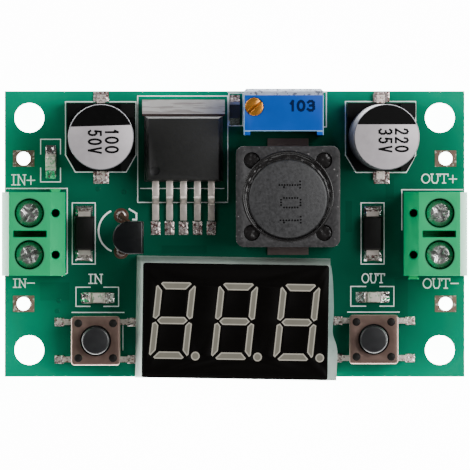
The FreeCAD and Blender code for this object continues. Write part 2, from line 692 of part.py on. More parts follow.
# Trimmer: open-backed housing, brass lead screw, wiper slider, element, pins and resin back
def save_trimmer():
    bottom = TRIMMER_STANDOFF
    top = TRIMMER_TOP
    cavity_floor = bottom + TRIMMER_FLOOR
    cavity_roof = top - TRIMMER_ROOF
    housing = box(0, TRIMMER_LENGTH, 0, TRIMMER_DEPTH, bottom, top)
    housing = housing.cut(box(
        TRIMMER_RIB_WIDTH, TRIMMER_LENGTH - TRIMMER_RIB_WIDTH,
        -1, TRIMMER_RIB_DEPTH, bottom - 1, top + 1,
    ))
    front_wall = TRIMMER_RIB_DEPTH + TRIMMER_WALL
    housing = housing.cut(box(
        TRIMMER_WALL, TRIMMER_LENGTH - TRIMMER_WALL,
        front_wall, TRIMMER_DEPTH + 1, cavity_floor, cavity_roof,
    ))
    for x in (0, TRIMMER_LENGTH - TRIMMER_RIB_WIDTH):
        foot = box(x, x + TRIMMER_RIB_WIDTH, 0, TRIMMER_DEPTH, 0, bottom)
        housing = housing.fuse(foot)
    housing = housing.removeSplitter()
    screw_x = TRIMMER_SCREW_X
    screw_y = TRIMMER_SCREW_Y
    gap = TRIMMER_RUNNING_GAP
    seat = top - TRIMMER_HEAD_DEPTH
    shaft_bottom = bottom + TRIMMER_FLOOR / 2
    housing = housing.cut(disc(screw_x, screw_y, seat, top + 1, TRIMMER_HEAD_RADIUS + gap))
    housing = housing.cut(disc(screw_x, screw_y, shaft_bottom, seat + 0.1, TRIMMER_SHAFT_RADIUS + gap))
    head_bottom = seat + gap
    head_top = top + TRIMMER_HEAD_PROUD
    screw = disc(screw_x, screw_y, head_bottom, head_top, TRIMMER_HEAD_RADIUS)
    screw = screw.fuse(disc(screw_x, screw_y, shaft_bottom + gap, head_bottom, TRIMMER_SHAFT_RADIUS))
    slot = box(
        screw_x - TRIMMER_HEAD_RADIUS - 1, screw_x + TRIMMER_HEAD_RADIUS + 1,
        screw_y - TRIMMER_SLOT_WIDTH / 2, screw_y + TRIMMER_SLOT_WIDTH / 2,
        head_top - TRIMMER_SLOT_DEPTH, head_top + 1,
    )
    slot = turned_about(slot, Vector(screw_x, screw_y, 0), Vector(0, 0, 1), TRIMMER_SLOT_TURN)
    screw = screw.cut(slot).removeSplitter()
    element_front = TRIMMER_DEPTH - TRIMMER_ELEMENT_THICKNESS
    element = box(
        TRIMMER_ELEMENT_LEFT, TRIMMER_LENGTH - TRIMMER_ELEMENT_RIGHT,
        element_front, TRIMMER_DEPTH, cavity_floor, cavity_roof,
    )
    middle = (cavity_floor + cavity_roof) / 2
    slider = box(
        TRIMMER_WALL + gap, TRIMMER_WALL + gap + TRIMMER_SLIDER_LENGTH,
        front_wall + gap, element_front - gap,
        middle - TRIMMER_SLIDER_HEIGHT / 2, middle + TRIMMER_SLIDER_HEIGHT / 2,
    )
    bore = disc(screw_x, screw_y, cavity_floor, cavity_roof, TRIMMER_SHAFT_RADIUS + gap)
    slider = slider.cut(bore)
    potting = box(
        0, TRIMMER_LENGTH, TRIMMER_DEPTH, TRIMMER_DEPTH + TRIMMER_POTTING,
        bottom, top - TRIMMER_POTTING_MARGIN,
    )
    back = TRIMMER_DEPTH + TRIMMER_POTTING
    rims = [edge for edge in potting.Edges if abs(edge.CenterOfMass.y - back) < 1e-6]
    potting = potting.makeChamfer(TRIMMER_POTTING_EDGE, rims)
    pins = []
    pin_y = element_front - TRIMMER_PIN_SIDE / 2
    pin_top = cavity_floor + TRIMMER_PIN_SIDE / 2
    for index in (-1, 0, 1):
        pin_x = TRIMMER_LENGTH / 2 + index * TRIMMER_PIN_PITCH
        pins.append(pin_box(pin_x, pin_y, TRIMMER_PIN_SIDE, PIN_TIP - BOARD_TOP, pin_top))
    housing = housing.cut(pins)
    pieces = {
        "housing": housing,
        "screw": screw,
        "slider": slider,
        "element": element,
        "potting": potting,
        "pins": group(pins),
    }
    for name, shape in pieces.items():
        save("trimmer_" + name, moved(shape, TRIMMER_LEFT, TRIMMER_FRONT, BOARD_TOP))
    for pin in pins:
        placed = moved(pin, TRIMMER_LEFT, TRIMMER_FRONT, BOARD_TOP)
        centre = placed.CenterOfMass
        hole = TRIMMER_PIN_SIDE / math.sqrt(2) + PIN_HOLE_CLEARANCE
        through_pin(centre.x, centre.y, hole, placed)


# Screw terminals: housing, contact pins, screws that stay put and cages that rise
def terminal_housing():
    half = TERMINAL_LENGTH / 2
    outline = [
        (-TERMINAL_BACK, 0),
        (TERMINAL_FRONT, 0),
        (TERMINAL_FRONT, TERMINAL_HEIGHT - TERMINAL_FRONT_DROP),
        (TERMINAL_TOP_FRONT, TERMINAL_HEIGHT),
        (-TERMINAL_TOP_BACK, TERMINAL_HEIGHT),
        (-TERMINAL_BACK, TERMINAL_HEIGHT - TERMINAL_BACK_DROP),
    ]
    side_view = [Vector(x, -half, z) for x, z in outline]
    housing = polygon_prism(side_view, Vector(0, TERMINAL_LENGTH, 0))
    for pole in (-1, 1):
        y = pole * TERMINAL_PITCH / 2
        housing = housing.cut([
            disc(0, y, WEB_TOP, TERMINAL_HEIGHT + 1, WELL_RADIUS),
            disc(0, y, WEB_BOTTOM - 0.1, WEB_TOP + 0.1, TERMINAL_SCREW_RADIUS + 2 * RUNNING_GAP),
            box(
                -CHAMBER_BACK, CHAMBER_FRONT, y - CHAMBER_WIDTH / 2, y + CHAMBER_WIDTH / 2,
                TERMINAL_FLOOR, WEB_BOTTOM,
            ),
            box(
                CHAMBER_FRONT - 0.1, TERMINAL_FRONT + 1, y - ENTRY_WIDTH / 2, y + ENTRY_WIDTH / 2,
                ENTRY_BOTTOM, ENTRY_TOP,
            ),
            disc(-TEST_HOLE_X, y, TEST_HOLE_BOTTOM, TERMINAL_HEIGHT + 1, TEST_HOLE_RADIUS),
            box(
                -CHAMBER_BACK, -CHAMBER_BACK + LEG_LENGTH + 2 * RUNNING_GAP,
                y - LEG_WIDTH / 2 - RUNNING_GAP, y + LEG_WIDTH / 2 + RUNNING_GAP,
                -1, TERMINAL_FLOOR + 0.1,
            ),
        ])
    housing = housing.cut(box(
        -BARRIER_SLOT_BACK, BARRIER_SLOT_FRONT, -BARRIER_SLOT_WIDTH / 2, BARRIER_SLOT_WIDTH / 2,
        BARRIER_SLOT_BOTTOM, TERMINAL_HEIGHT + 1,
    ))
    root = TONGUE_ROOT / 2
    tip = TONGUE_TIP / 2
    ease = TONGUE_CLEARANCE
    tongue = plan_prism([
        (-TONGUE_X - root, -half), (-TONGUE_X - tip, -half - TONGUE_REACH),
        (-TONGUE_X + tip, -half - TONGUE_REACH), (-TONGUE_X + root, -half),
    ], 0, TONGUE_TOP)
    groove = plan_prism([
        (-TONGUE_X - root - ease, half), (-TONGUE_X - tip - ease, half - TONGUE_REACH - ease),
        (-TONGUE_X + tip + ease, half - TONGUE_REACH - ease), (-TONGUE_X + root + ease, half),
    ], -1, TONGUE_TOP + ease)
    return housing.fuse(tongue).removeSplitter().cut(groove)


def terminal_contact(y):
    back = -CHAMBER_BACK + RUNNING_GAP
    top = CONTACT_BOTTOM + CONTACT_THICKNESS
    bar = box(
        back, CONTACT_FRONT, y - CONTACT_WIDTH / 2, y + CONTACT_WIDTH / 2, CONTACT_BOTTOM, top)
    leg = box(
        back, back + LEG_LENGTH, y - LEG_WIDTH / 2, y + LEG_WIDTH / 2, PIN_TIP - BOARD_TOP, top)
    return bar.fuse(leg).removeSplitter()


def terminal_cage(y):
    length = CAGE_LENGTH / 2
    half = CAGE_WIDTH / 2
    window_bottom = CAGE_BOTTOM + CAGE_SILL
    window_top = window_bottom + CAGE_WINDOW
    top = window_top + CAGE_BAR
    cage = box(-length, length, y - half, y + half, CAGE_BOTTOM, top)
    cage = cage.cut(box(
        -length - 1, length + 1, y - half + CAGE_SIDE, y + half - CAGE_SIDE,
        window_bottom, window_top,
    ))
    return cage.cut(disc(0, y, window_top - 0.1, top + 0.1, TERMINAL_SCREW_RADIUS + RUNNING_GAP))


def terminal_screw(y, turn):
    head_bottom = WEB_TOP + RUNNING_GAP
    shank_bottom = CONTACT_BOTTOM + CONTACT_THICKNESS + RUNNING_GAP
    edge = TERMINAL_HEAD_EDGE
    screw = turned([
        (0, shank_bottom),
        (TERMINAL_SCREW_RADIUS, shank_bottom),
        (TERMINAL_SCREW_RADIUS, head_bottom),
        (TERMINAL_HEAD_RADIUS, head_bottom),
        (TERMINAL_HEAD_RADIUS, DRIVE_TOP - edge),
        (TERMINAL_HEAD_RADIUS - edge, DRIVE_TOP),
        (0, DRIVE_TOP),
        (0, shank_bottom),
    ])
    reach = TERMINAL_HEAD_RADIUS + 1
    half = DRIVE_SLOT_WIDTH / 2
    slot = box(-reach, reach, -half, half, DRIVE_TOP - DRIVE_SLOT_DEPTH, DRIVE_TOP + 1)
    cross = box(
        -half, half, -DRIVE_CROSS_LENGTH / 2, DRIVE_CROSS_LENGTH / 2,
        DRIVE_TOP - DRIVE_SLOT_DEPTH, DRIVE_TOP + 1,
    )
    screw = screw.cut([slot, cross])
    screw = turned_about(screw, Vector(0, 0, 0), Vector(0, 0, 1), turn)
    return moved(screw, 0, y, 0)


def save_terminal(name, half_turn, screw_turns):
    side = -1 if half_turn else 1

    def place(shape):
        spun = turned_about(shape, Vector(0, 0, 0), Vector(0, 0, 1), 180 if half_turn else 0)
        return moved(spun, side * TERMINAL_WELL_X, 0, BOARD_TOP)

    save(name + "_terminal_housing", place(terminal_housing()))
    contacts = []
    for pole, letter in ((1, "a"), (-1, "b")):
        y = side * pole * TERMINAL_PITCH / 2
        save(name + "_terminal_screw_" + letter, place(terminal_screw(y, screw_turns[letter])))
        save(name + "_terminal_cage_" + letter, place(terminal_cage(y)))
        contact = place(terminal_contact(y))
        contacts.append(contact)
        leg_x = side * (TERMINAL_WELL_X - CHAMBER_BACK + RUNNING_GAP + LEG_LENGTH / 2)
        diagonal = math.hypot(LEG_LENGTH, LEG_WIDTH) / 2
        through_pin(leg_x, side * y, diagonal + PIN_HOLE_CLEARANCE, contact)
    save(name + "_terminal_contacts", group(contacts))


# Diodes: tapered moulding with a C-shaped lead at each end
def save_diode(name, x):
    half_x = DIODE_WIDTH / 2
    half_y = DIODE_LENGTH / 2
    draft = DIODE_DRAFT
    lower = ruled_block([
        (-half_x + draft, half_x - draft, -half_y + draft, half_y - draft, DIODE_LEAD_THICKNESS),
        (-half_x, half_x, -half_y, half_y, DIODE_PARTING),
    ])
    upper = ruled_block([
        (-half_x, half_x, -half_y, half_y, DIODE_PARTING),
        (-half_x + draft, half_x - draft, -half_y + draft, half_y - draft, DIODE_HEIGHT),
    ])
    body = lower.fuse(upper)
    middle = DIODE_LEAD_THICKNESS / 2
    out = half_y + DIODE_LEAD_OUT
    path = [
        (half_y - DIODE_LEAD_INSIDE, DIODE_PARTING), (out, DIODE_PARTING),
        (out, middle), (out - DIODE_LEAD_UNDER, middle),
    ]
    leads = []
    for side in (1, -1):
        leads.append(bent_strip(
            path, DIODE_LEAD_THICKNESS, 0,
            lambda p, side=side: Vector(-DIODE_LEAD_WIDTH / 2, side * p.x, p.y),
            Vector(DIODE_LEAD_WIDTH, 0, 0),
        ))
    body = body.cut(leads)
    save(name + "_diode_body", moved(body, x, DIODE_Y, BOARD_TOP))
    diode_leads.append(moved(group(leads), x, DIODE_Y, BOARD_TOP))
    for side in (1, -1):
        start = out + DIODE_LEAD_THICKNESS / 2
        foot = sorted((side * start, side * DIODE_PAD_REACH))
        crest = sorted((side * start, side * (start + DIODE_SOLDER_CREST)))
        wedge = ruled_block([
            (-DIODE_PAD_WIDTH / 2, DIODE_PAD_WIDTH / 2, foot[0], foot[1], 0),
            (-DIODE_LEAD_WIDTH / 2, DIODE_LEAD_WIDTH / 2, crest[0], crest[1], DIODE_SOLDER_TOP),
        ])
        solder.append(moved(wedge, x, DIODE_Y, BOARD_TOP))


# Small regulator: half-round moulding with a flat slab in front, on three splayed leads
def small_lead(x_top, y_top, z_top, x_board, y_board):
    half = SMALL_LEAD_SIDE / 2
    knee = BOARD_TOP + SMALL_LEAD_UPRIGHT
    tip = pin_box(x_board, y_board, SMALL_LEAD_SIDE, PIN_TIP, knee)
    low = rectangle_wire(x_board - half, x_board + half, y_board - half, y_board + half, knee)
    high = rectangle_wire(x_top - half, x_top + half, y_top - half, y_top + half, z_top)
    return tip.fuse(Part.makeLoft([low, high], True, True))


def save_small_regulator():
    half = SMALL_REGULATOR_WIDTH / 2
    bottom = BOARD_TOP + SMALL_REGULATOR_STANDOFF
    top = bottom + SMALL_REGULATOR_HEIGHT
    flat = SMALL_REGULATOR_FLAT_X
    y = SMALL_REGULATOR_Y
    parting = flat - SMALL_REGULATOR_SLAB
    round_x = flat - SMALL_REGULATOR_DEPTH + half
    slab = ruled_block([
        (parting, flat, y - half, y + half, bottom),
        (parting, flat - SMALL_REGULATOR_DRAFT, y - half, y + half, top),
    ])
    middle = box(round_x, parting, y - half, y + half, bottom, top)
    back = disc(round_x, y, bottom, top, half).common(
        box(round_x - half - 1, round_x, y - half - 1, y + half + 1, bottom, top))
    body = back.fuse([middle, slab]).removeSplitter()
    leads = []
    for index in (-1, 0, 1):
        board_y = SMALL_LEAD_BOARD_Y + index * SMALL_LEAD_PITCH_BOARD
        lead = small_lead(
            parting - SMALL_LEAD_SIDE / 2, y + index * SMALL_LEAD_PITCH_TOP, bottom,
            SMALL_LEAD_BOARD_X, board_y,
        )
        leads.append(lead)
        hole = SMALL_LEAD_SIDE / math.sqrt(2) + PIN_HOLE_CLEARANCE
        through_pin(SMALL_LEAD_BOARD_X, board_y, hole, lead)
    save("small_regulator_body", body)
    save("small_regulator_leads", group(leads))


# Indicator lights: chip base with metal ends and a moulded lens
def indicator(x, y, along_x):
    half = CHIP_LENGTH / 2
    side = CHIP_WIDTH / 2
    base = box(-half, half, -side, side, 0, CHIP_BASE_HEIGHT)
    lens_half = CHIP_LENS_LENGTH / 2
    lens = ruled_block([
        (-lens_half, lens_half, -side, side, CHIP_BASE_HEIGHT),
        (
            -lens_half + CHIP_LENS_DRAFT, lens_half - CHIP_LENS_DRAFT,
            -side + CHIP_LENS_DRAFT, side - CHIP_LENS_DRAFT, CHIP_LENS_HEIGHT,
        ),
    ])
    light = base.fuse(lens)
    if not along_x:
        light = turned_about(light, Vector(0, 0, 0), Vector(0, 0, 1), 90)
    return moved(light, x, y, BOARD_TOP)


def chip_fillets(x, y, length, width, along_x, under):
    """Solder wedges at the two ends of a chip, on either side of the board."""
    for end in (1, -1):
        start = length / 2
        stop = start + CHIP_FILLET_REACH
        wedge = polygon_prism([
            Vector(end * start, -width / 2, 0),
            Vector(end * stop, -width / 2, 0),
            Vector(end * start, -width / 2, CHIP_FILLET_HEIGHT),
        ], Vector(0, width, 0))
        if not along_x:
            wedge = turned_about(wedge, Vector(0, 0, 0), Vector(0, 0, 1), 90)
        if under:
            wedge = turned_about(wedge, Vector(0, 0, 0), Vector(1, 0, 0), 180)
        solder.append(moved(wedge, x, y, 0 if under else BOARD_TOP))


def save_chips():
    lights = (("power", POWER_LIGHT, False), ("input", INPUT_LIGHT, True), ("output", OUTPUT_LIGHT, True))
    for name, (x, y), along_x in lights:
        save(name + "_light", indicator(x, y, along_x))
        chip_fillets(x, y, CHIP_LENGTH, CHIP_WIDTH, along_x, False)
    half = RESISTOR_WIDTH / 2
    reach = RESISTOR_LENGTH / 2
    x, y = TOP_RESISTOR
    chips = [box(x - half, x + half, y - reach, y + reach, BOARD_TOP, BOARD_TOP + RESISTOR_HEIGHT)]
    chip_fillets(x, y, RESISTOR_LENGTH, RESISTOR_WIDTH, False, False)
    for x, y in UNDERSIDE_RESISTORS:
        chips.append(box(x - reach, x + reach, y - half, y + half, -RESISTOR_HEIGHT, 0))
        chip_fillets(x, y, RESISTOR_LENGTH, RESISTOR_WIDTH, True, True)
    save("chip_resistors", group(chips))


# Display: flared housing, light segments set into its black face, pins and resin filling
def segment_outlines():
    """Mitred bars of one digit, from the top bar clockwise to the left and the middle bar last."""
    half = SEGMENT_THICKNESS / 2
    side = SEGMENT_SIDE_THICKNESS / 2
    spread = SEGMENT_SPREAD
    rise = SEGMENT_RISE
    gap = SEGMENT_GAP
    cut = SEGMENT_CUT
    outer = spread - gap
    inner = spread - half - gap - cut
    top = [
        (-outer + cut, rise + half), (outer - cut, rise + half), (outer, rise + half - cut),
        (inner, rise - half), (-inner, rise - half), (-outer, rise + half - cut),
    ]
    corner = rise + half - cut - gap
    right = [
        (spread + side, corner - cut), (spread + side - cut, corner),
        (spread - side, rise - half - gap), (spread - side, half + gap),
        (spread, gap), (spread + side, gap + cut),
    ]
    bar = spread - gap
    middle = [
        (-bar, 0), (-bar + half, half), (bar - half, half), (bar, 0),
        (bar - half, -half), (-bar + half, -half),
    ]
    return [
        top,
        right,
        [(x, -y) for x, y in right],
        [(x, -y) for x, y in top],
        [(-x, -y) for x, y in right],
        [(-x, y) for x, y in right],
        middle,
    ]


def display_segments():
    top = DISPLAY_HEIGHT
    bottom = top - FACE_THICKNESS
    slope = math.tan(math.radians(DIGIT_SLANT))
    segments = []
    for digit in range(DIGITS):
        centre = DIGIT_OFFSET + (digit - (DIGITS - 1) / 2) * DIGIT_PITCH
        for outline in segment_outlines():
            slanted = [(centre + x + slope * y, y) for x, y in outline]
            segments.append(plan_prism(slanted, bottom, top))
        segments.append(disc(centre + POINT_X, POINT_Y, bottom, top, POINT_RADIUS))
    return segments


def save_display():
    half_x = DISPLAY_LENGTH / 2
    half_y = DISPLAY_WIDTH / 2
    skirt_top = DISPLAY_HEIGHT - FACE_THICKNESS
    housing = ruled_block([
        (
            -half_x - DISPLAY_FLARE_LEFT, half_x + DISPLAY_FLARE_RIGHT,
            -half_y - DISPLAY_FLARE_BOTTOM, half_y + DISPLAY_FLARE_TOP, 0,
        ),
        (-half_x, half_x, -half_y, half_y, skirt_top),
    ])
    face = rounded_box(-half_x, half_x, -half_y, half_y, skirt_top, DISPLAY_HEIGHT, FACE_CORNER)
    margin = FILLER_MARGIN
    filler = box(
        -half_x + margin, half_x - margin, -half_y + margin, half_y - margin, 0, FILLER_RECESS)
    housing = housing.cut(filler)
    segments = display_segments()
    face = face.cut(segments)
    pins = []
    for row_y, count in ((DISPLAY_ROW_Y, DISPLAY_TOP_PINS), (-DISPLAY_ROW_Y, DISPLAY_BOTTOM_PINS)):
        for index in range(count):
            x = (index - (DISPLAY_TOP_PINS - 1) / 2) * DISPLAY_PIN_PITCH
            pins.append(pin_box(
                x, row_y, DISPLAY_PIN_SIDE, PIN_TIP - BOARD_TOP, DISPLAY_PIN_ROOT))
    filler = filler.cut(pins)
    squeeze = squeezed_resin(half_x, half_y)
    squeeze = squeeze.cut([housing, filler])

    def place(shape):
        spun = turned_about(shape, Vector(0, 0, 0), Vector(0, 0, 1), DISPLAY_TURN)
        return moved(spun, DISPLAY_X, DISPLAY_Y, BOARD_TOP)

    save("display_housing", place(housing))
    save("display_face", place(face))
    save("display_segments", place(group(segments)))
    save("display_resin", place(group([filler, squeeze])))
    save("display_pins", place(group(pins)))
    for pin in pins:
        placed = place(pin)
        centre = placed.CenterOfMass
        hole = DISPLAY_PIN_SIDE / math.sqrt(2) + PIN_HOLE_CLEARANCE
        through_pin(centre.x, centre.y, hole, placed)


def squeezed_resin(half_x, half_y):
    """Uneven lip of hardened resin along the right side, with a wavy outer edge."""
    bottom = SQUEEZE_BOTTOM
    points = [Vector(half_x + reach, y, bottom) for y, reach in SQUEEZE_WAVES]
    curve = Part.BSplineCurve()
    curve.interpolate(points)
    inner = half_x - SQUEEZE_OVERLAP
    edges = [
        curve.toShape(),
        Part.LineSegment(points[-1], Vector(inner, -half_y, bottom)).toShape(),
        Part.LineSegment(Vector(inner, -half_y, bottom), Vector(inner, half_y, bottom)).toShape(),
        Part.LineSegment(Vector(inner, half_y, bottom), points[0]).toShape(),
    ]
    return Part.Face(Part.Wire(edges)).extrude(Vector(0, 0, SQUEEZE_TOP - bottom))


# Push switches: moulded base, snap dome, riveted cover, button and four formed leads
def switch_leads():
    leads = []
    path = [
        (SWITCH_SIDE / 2 - SWITCH_LEAD_INSIDE, SWITCH_LEAD_HEIGHT),
        (SWITCH_LEAD_BEND_X, SWITCH_LEAD_HEIGHT),
        (SWITCH_LEAD_BEND_X, SWITCH_LEAD_THICKNESS / 2),
        (SWITCH_LEAD_REACH, SWITCH_LEAD_THICKNESS / 2),
    ]
    for side in (1, -1):
        for row in (1, -1):
            y = row * SWITCH_LEAD_PITCH / 2 - SWITCH_LEAD_WIDTH / 2
            leads.append(bent_strip(
                path, SWITCH_LEAD_THICKNESS, 0,
                lambda p, side=side, y=y: Vector(side * p.x, y, p.y),
                Vector(0, SWITCH_LEAD_WIDTH, 0),
            ))
    return leads


def switch_base(leads):
    half = SWITCH_SIDE / 2
    narrow = half - COVER_THICKNESS
    base = rounded_box(-half, half, -narrow, narrow, 0, SWITCH_BASE_TOP, SWITCH_BASE_CORNER)
    base = base.cut(disc(0, 0, SWITCH_WELL_FLOOR, SWITCH_BASE_TOP + 1, SWITCH_WELL_RADIUS))
    return base.cut(leads)


def switch_cover():
    half = SWITCH_SIDE / 2
    top = SWITCH_BASE_TOP + COVER_THICKNESS
    cover = rounded_box(-half, half, -half, half, SWITCH_BASE_TOP, top, COVER_CORNER)
    for side in (1, -1):
        ends = sorted((side * half, side * (half - COVER_THICKNESS)))
        cover = cover.fuse(box(
            -COVER_SKIRT_WIDTH / 2, COVER_SKIRT_WIDTH / 2, ends[0], ends[1],
            COVER_SKIRT_BOTTOM, SWITCH_BASE_TOP,
        ))
    cover = cover.removeSplitter()
    rim = []
    for edge in cover.Edges:
        limits = edge.BoundBox
        if abs(limits.ZMin - top) < 1e-6 and abs(limits.ZMax - top) < 1e-6:
            rim.append(edge)
    cover = cover.makeChamfer(COVER_THICKNESS / 2, rim)
    return cover.cut(disc(0, 0, SWITCH_BASE_TOP - 1, top + 1, COVER_HOLE_RADIUS))


def switch_dome():
    """Shallow spring plate with a flat crown and a sloping rim."""
    floor = SWITCH_WELL_FLOOR
    crown = floor + DOME_RISE
    return turned([
        (0, crown),
        (DOME_CROWN_RADIUS, crown),
        (DOME_RADIUS, floor),
        (DOME_RADIUS, floor + DOME_THICKNESS),
        (DOME_CROWN_RADIUS, crown + DOME_THICKNESS),
        (0, crown + DOME_THICKNESS),
        (0, crown),
    ])


def switch_button():
    flange_top = SWITCH_BASE_TOP - RUNNING_GAP
    flange_bottom = flange_top - BUTTON_FLANGE_THICKNESS
    nub_bottom = SWITCH_WELL_FLOOR + DOME_RISE + DOME_THICKNESS + BUTTON_SLACK
    edge = BUTTON_EDGE
    return turned([
        (0, nub_bottom),
        (BUTTON_NUB_RADIUS, nub_bottom),
        (BUTTON_NUB_RADIUS, flange_bottom),
        (BUTTON_FLANGE_RADIUS, flange_bottom),
        (BUTTON_FLANGE_RADIUS, flange_top),
        (BUTTON_RADIUS, flange_top),
        (BUTTON_RADIUS, BUTTON_TOP - edge),
        (BUTTON_RADIUS - edge, BUTTON_TOP),
        (0, BUTTON_TOP),
        (0, nub_bottom),
    ])


def save_switch(name, x, y):
    leads = switch_leads()
    pieces = {
        "base": switch_base(leads),
        "cover": switch_cover(),
        "dome": switch_dome(),
        "button": switch_button(),
        "leads": group(leads),
    }
    for part_name, shape in pieces.items():
        save(name + "_switch_" + part_name, moved(shape, x, y, BOARD_TOP))


# Controller: small-outline chip with two rows of formed leads, hanging under the board
def save_controller():
    half_x = CONTROLLER_LENGTH / 2
    half_y = CONTROLLER_WIDTH / 2
    low = CONTROLLER_STANDOFF
    high = low + CONTROLLER_HEIGHT
    middle = (low + high) / 2
    draft = CONTROLLER_DRAFT
    body = ruled_block([
        (-half_x + draft, half_x - draft, -half_y + draft, half_y - draft, low),
        (-half_x, half_x, -half_y, half_y, middle),
    ])
    body = body.fuse(ruled_block([
        (-half_x, half_x, -half_y, half_y, middle),
        (-half_x + draft, half_x - draft, -half_y + draft, half_y - draft, high),
    ]))
    thickness = CONTROLLER_LEAD_THICKNESS
    path = [
        (half_y - CONTROLLER_LEAD_INSIDE, middle), (half_y + CONTROLLER_LEAD_KNEE, middle),
        (half_y + CONTROLLER_LEAD_HEEL, thickness / 2),
        (half_y + CONTROLLER_LEAD_REACH, thickness / 2),
    ]
    leads = []
    for side in (1, -1):
        for index in range(CONTROLLER_LEADS_PER_SIDE):
            centre = (index - (CONTROLLER_LEADS_PER_SIDE - 1) / 2) * CONTROLLER_LEAD_PITCH
            left = centre - CONTROLLER_LEAD_WIDTH / 2
            leads.append(bent_strip(
                path, thickness, 0,
                lambda p, left=left, side=side: Vector(left, side * p.x, p.y),
                Vector(CONTROLLER_LEAD_WIDTH, 0, 0),
            ))
    body = body.cut(leads)
    for name, shape in (("body", body), ("leads", group(leads))):
        hung = turned_about(shape, Vector(0, 0, 0), Vector(1, 0, 0), 180)
        save("controller_" + name, moved(hung, CONTROLLER_X, CONTROLLER_Y, 0))


def circuit_board():
    board = box(
        -BOARD_LENGTH / 2, BOARD_LENGTH / 2, -BOARD_WIDTH / 2, BOARD_WIDTH / 2, 0, BOARD_THICKNESS)
    holes = []
    for side_x in (1, -1):
        for side_y in (1, -1):
            holes.append(disc(
                side_x * MOUNT_PITCH_X / 2, side_y * MOUNT_PITCH_Y / 2,
                -1, BOARD_TOP + 1, MOUNT_HOLE_RADIUS,
            ))
        for y in (WIRE_PAD_TOP_Y, WIRE_PAD_BOTTOM_Y):
            holes.append(disc(
                side_x * WIRE_PAD_X, y, -1, BOARD_TOP + 1, WIRE_HOLE_RADIUS + COPPER_THICKNESS))
    for x, y, radius in pin_holes:
        holes.append(disc(x, y, -1, BOARD_TOP + 1, radius))
    return board.cut(holes)


os.makedirs("parts", exist_ok=True)
save_capacitor("input_capacitor", INPUT_CAN_X, INPUT_CAN_Y, 0)
save_capacitor("output_capacitor", OUTPUT_CAN_X, OUTPUT_CAN_Y, OUTPUT_CAN_LEAN)
save_regulator()
save_inductor()
save_trimmer()
save_terminal("input", True, {"a": 52.0, "b": 22.0})
save_terminal("output", False, {"a": 35.0, "b": -20.0})
save_diode("input", INPUT_DIODE_X)
save_diode("output", OUTPUT_DIODE_X)
save_small_regulator()
save_chips()
save_display()
save_switch("input", *INPUT_SWITCH)
save_switch("output", *OUTPUT_SWITCH)
save_controller()
save("diode_leads", group(diode_leads))
save("wire_pads", group(wire_pads()))
save("solder_joints", group(solder))
save("circuit_board", circuit_board())
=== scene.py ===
import math

import bmesh
import bpy
from mathutils import Matrix, Vector, noise


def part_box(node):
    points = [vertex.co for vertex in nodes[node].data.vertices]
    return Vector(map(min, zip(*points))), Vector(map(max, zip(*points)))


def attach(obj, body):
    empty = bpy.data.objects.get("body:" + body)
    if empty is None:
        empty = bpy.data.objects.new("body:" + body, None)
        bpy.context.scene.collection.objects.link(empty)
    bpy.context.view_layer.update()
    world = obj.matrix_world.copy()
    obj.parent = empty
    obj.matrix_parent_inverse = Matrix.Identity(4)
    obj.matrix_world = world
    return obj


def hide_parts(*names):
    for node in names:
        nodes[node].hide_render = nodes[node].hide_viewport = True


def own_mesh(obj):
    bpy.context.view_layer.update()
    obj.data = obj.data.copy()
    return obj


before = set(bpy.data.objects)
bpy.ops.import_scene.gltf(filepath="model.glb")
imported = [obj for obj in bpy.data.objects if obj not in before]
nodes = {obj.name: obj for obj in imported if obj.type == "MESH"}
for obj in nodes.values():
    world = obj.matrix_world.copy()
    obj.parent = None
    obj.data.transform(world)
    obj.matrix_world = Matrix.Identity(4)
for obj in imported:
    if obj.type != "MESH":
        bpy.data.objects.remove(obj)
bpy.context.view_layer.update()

# Floor, lamps, sky and camera.
# A pale sheet under the module, two broad soft boxes with the key from the output side, and a
# straight top-down orthographic camera.
mm = 0.001
photo_width = 57.25 * mm
photo_centre = (0.05 * mm, -0.13 * mm)
camera_height = 0.3
floor_z = -1.75 * mm
floor_half = 0.6
paper_glow = 13.0


def new_object(name, bm, body="board"):
    """A mesh object at the origin that moves with the given body, or stands still without one."""
    mesh = bpy.data.meshes.new(name)
    bm.to_mesh(mesh)
    bm.free()
    piece = bpy.data.objects.new(name, mesh)
    bpy.context.scene.collection.objects.link(piece)
    if body:
        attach(piece, body)
    return piece


floor_bm = bmesh.new()
bmesh.ops.create_grid(floor_bm, x_segments=1, y_segments=1, size=floor_half)
bmesh.ops.translate(floor_bm, verts=floor_bm.verts, vec=(0, 0, floor_z))
floor = new_object("floor", floor_bm, None)
paper = bpy.data.materials.new("floor_paper")
paper.use_nodes = True
paper_shader = paper.node_tree.nodes["Principled BSDF"]
paper_shader.inputs["Base Color"].default_value = (0.95, 0.95, 0.95, 1)
paper_shader.inputs["Roughness"].default_value = 0.9
paper_shader.inputs["Emission Color"].default_value = (1, 1, 1, 1)
paper_shader.inputs["Emission Strength"].default_value = paper_glow
floor.data.materials.append(paper)


def soft_box(name, place, aim, width, height, power):
    lamp = bpy.data.lights.new(name, "AREA")
    lamp.shape = "RECTANGLE"
    lamp.size = width
    lamp.size_y = height
    lamp.energy = power
    holder = bpy.data.objects.new(name, lamp)
    holder.location = place
    holder.rotation_euler = (Vector(aim) - Vector(place)).to_track_quat("-Z", "Y").to_euler()
    bpy.context.scene.collection.objects.link(holder)


soft_box("key_box", (0.20, 0.06, 0.22), (0, 0, 0), 0.20, 0.22, 1.3)
soft_box("fill_box", (-0.22, 0.10, 0.18), (0, 0, 0), 0.20, 0.20, 0.5)
soft_box("front_box", (0.0, -0.24, 0.18), (0, 0, 0), 0.30, 0.14, 0.45)

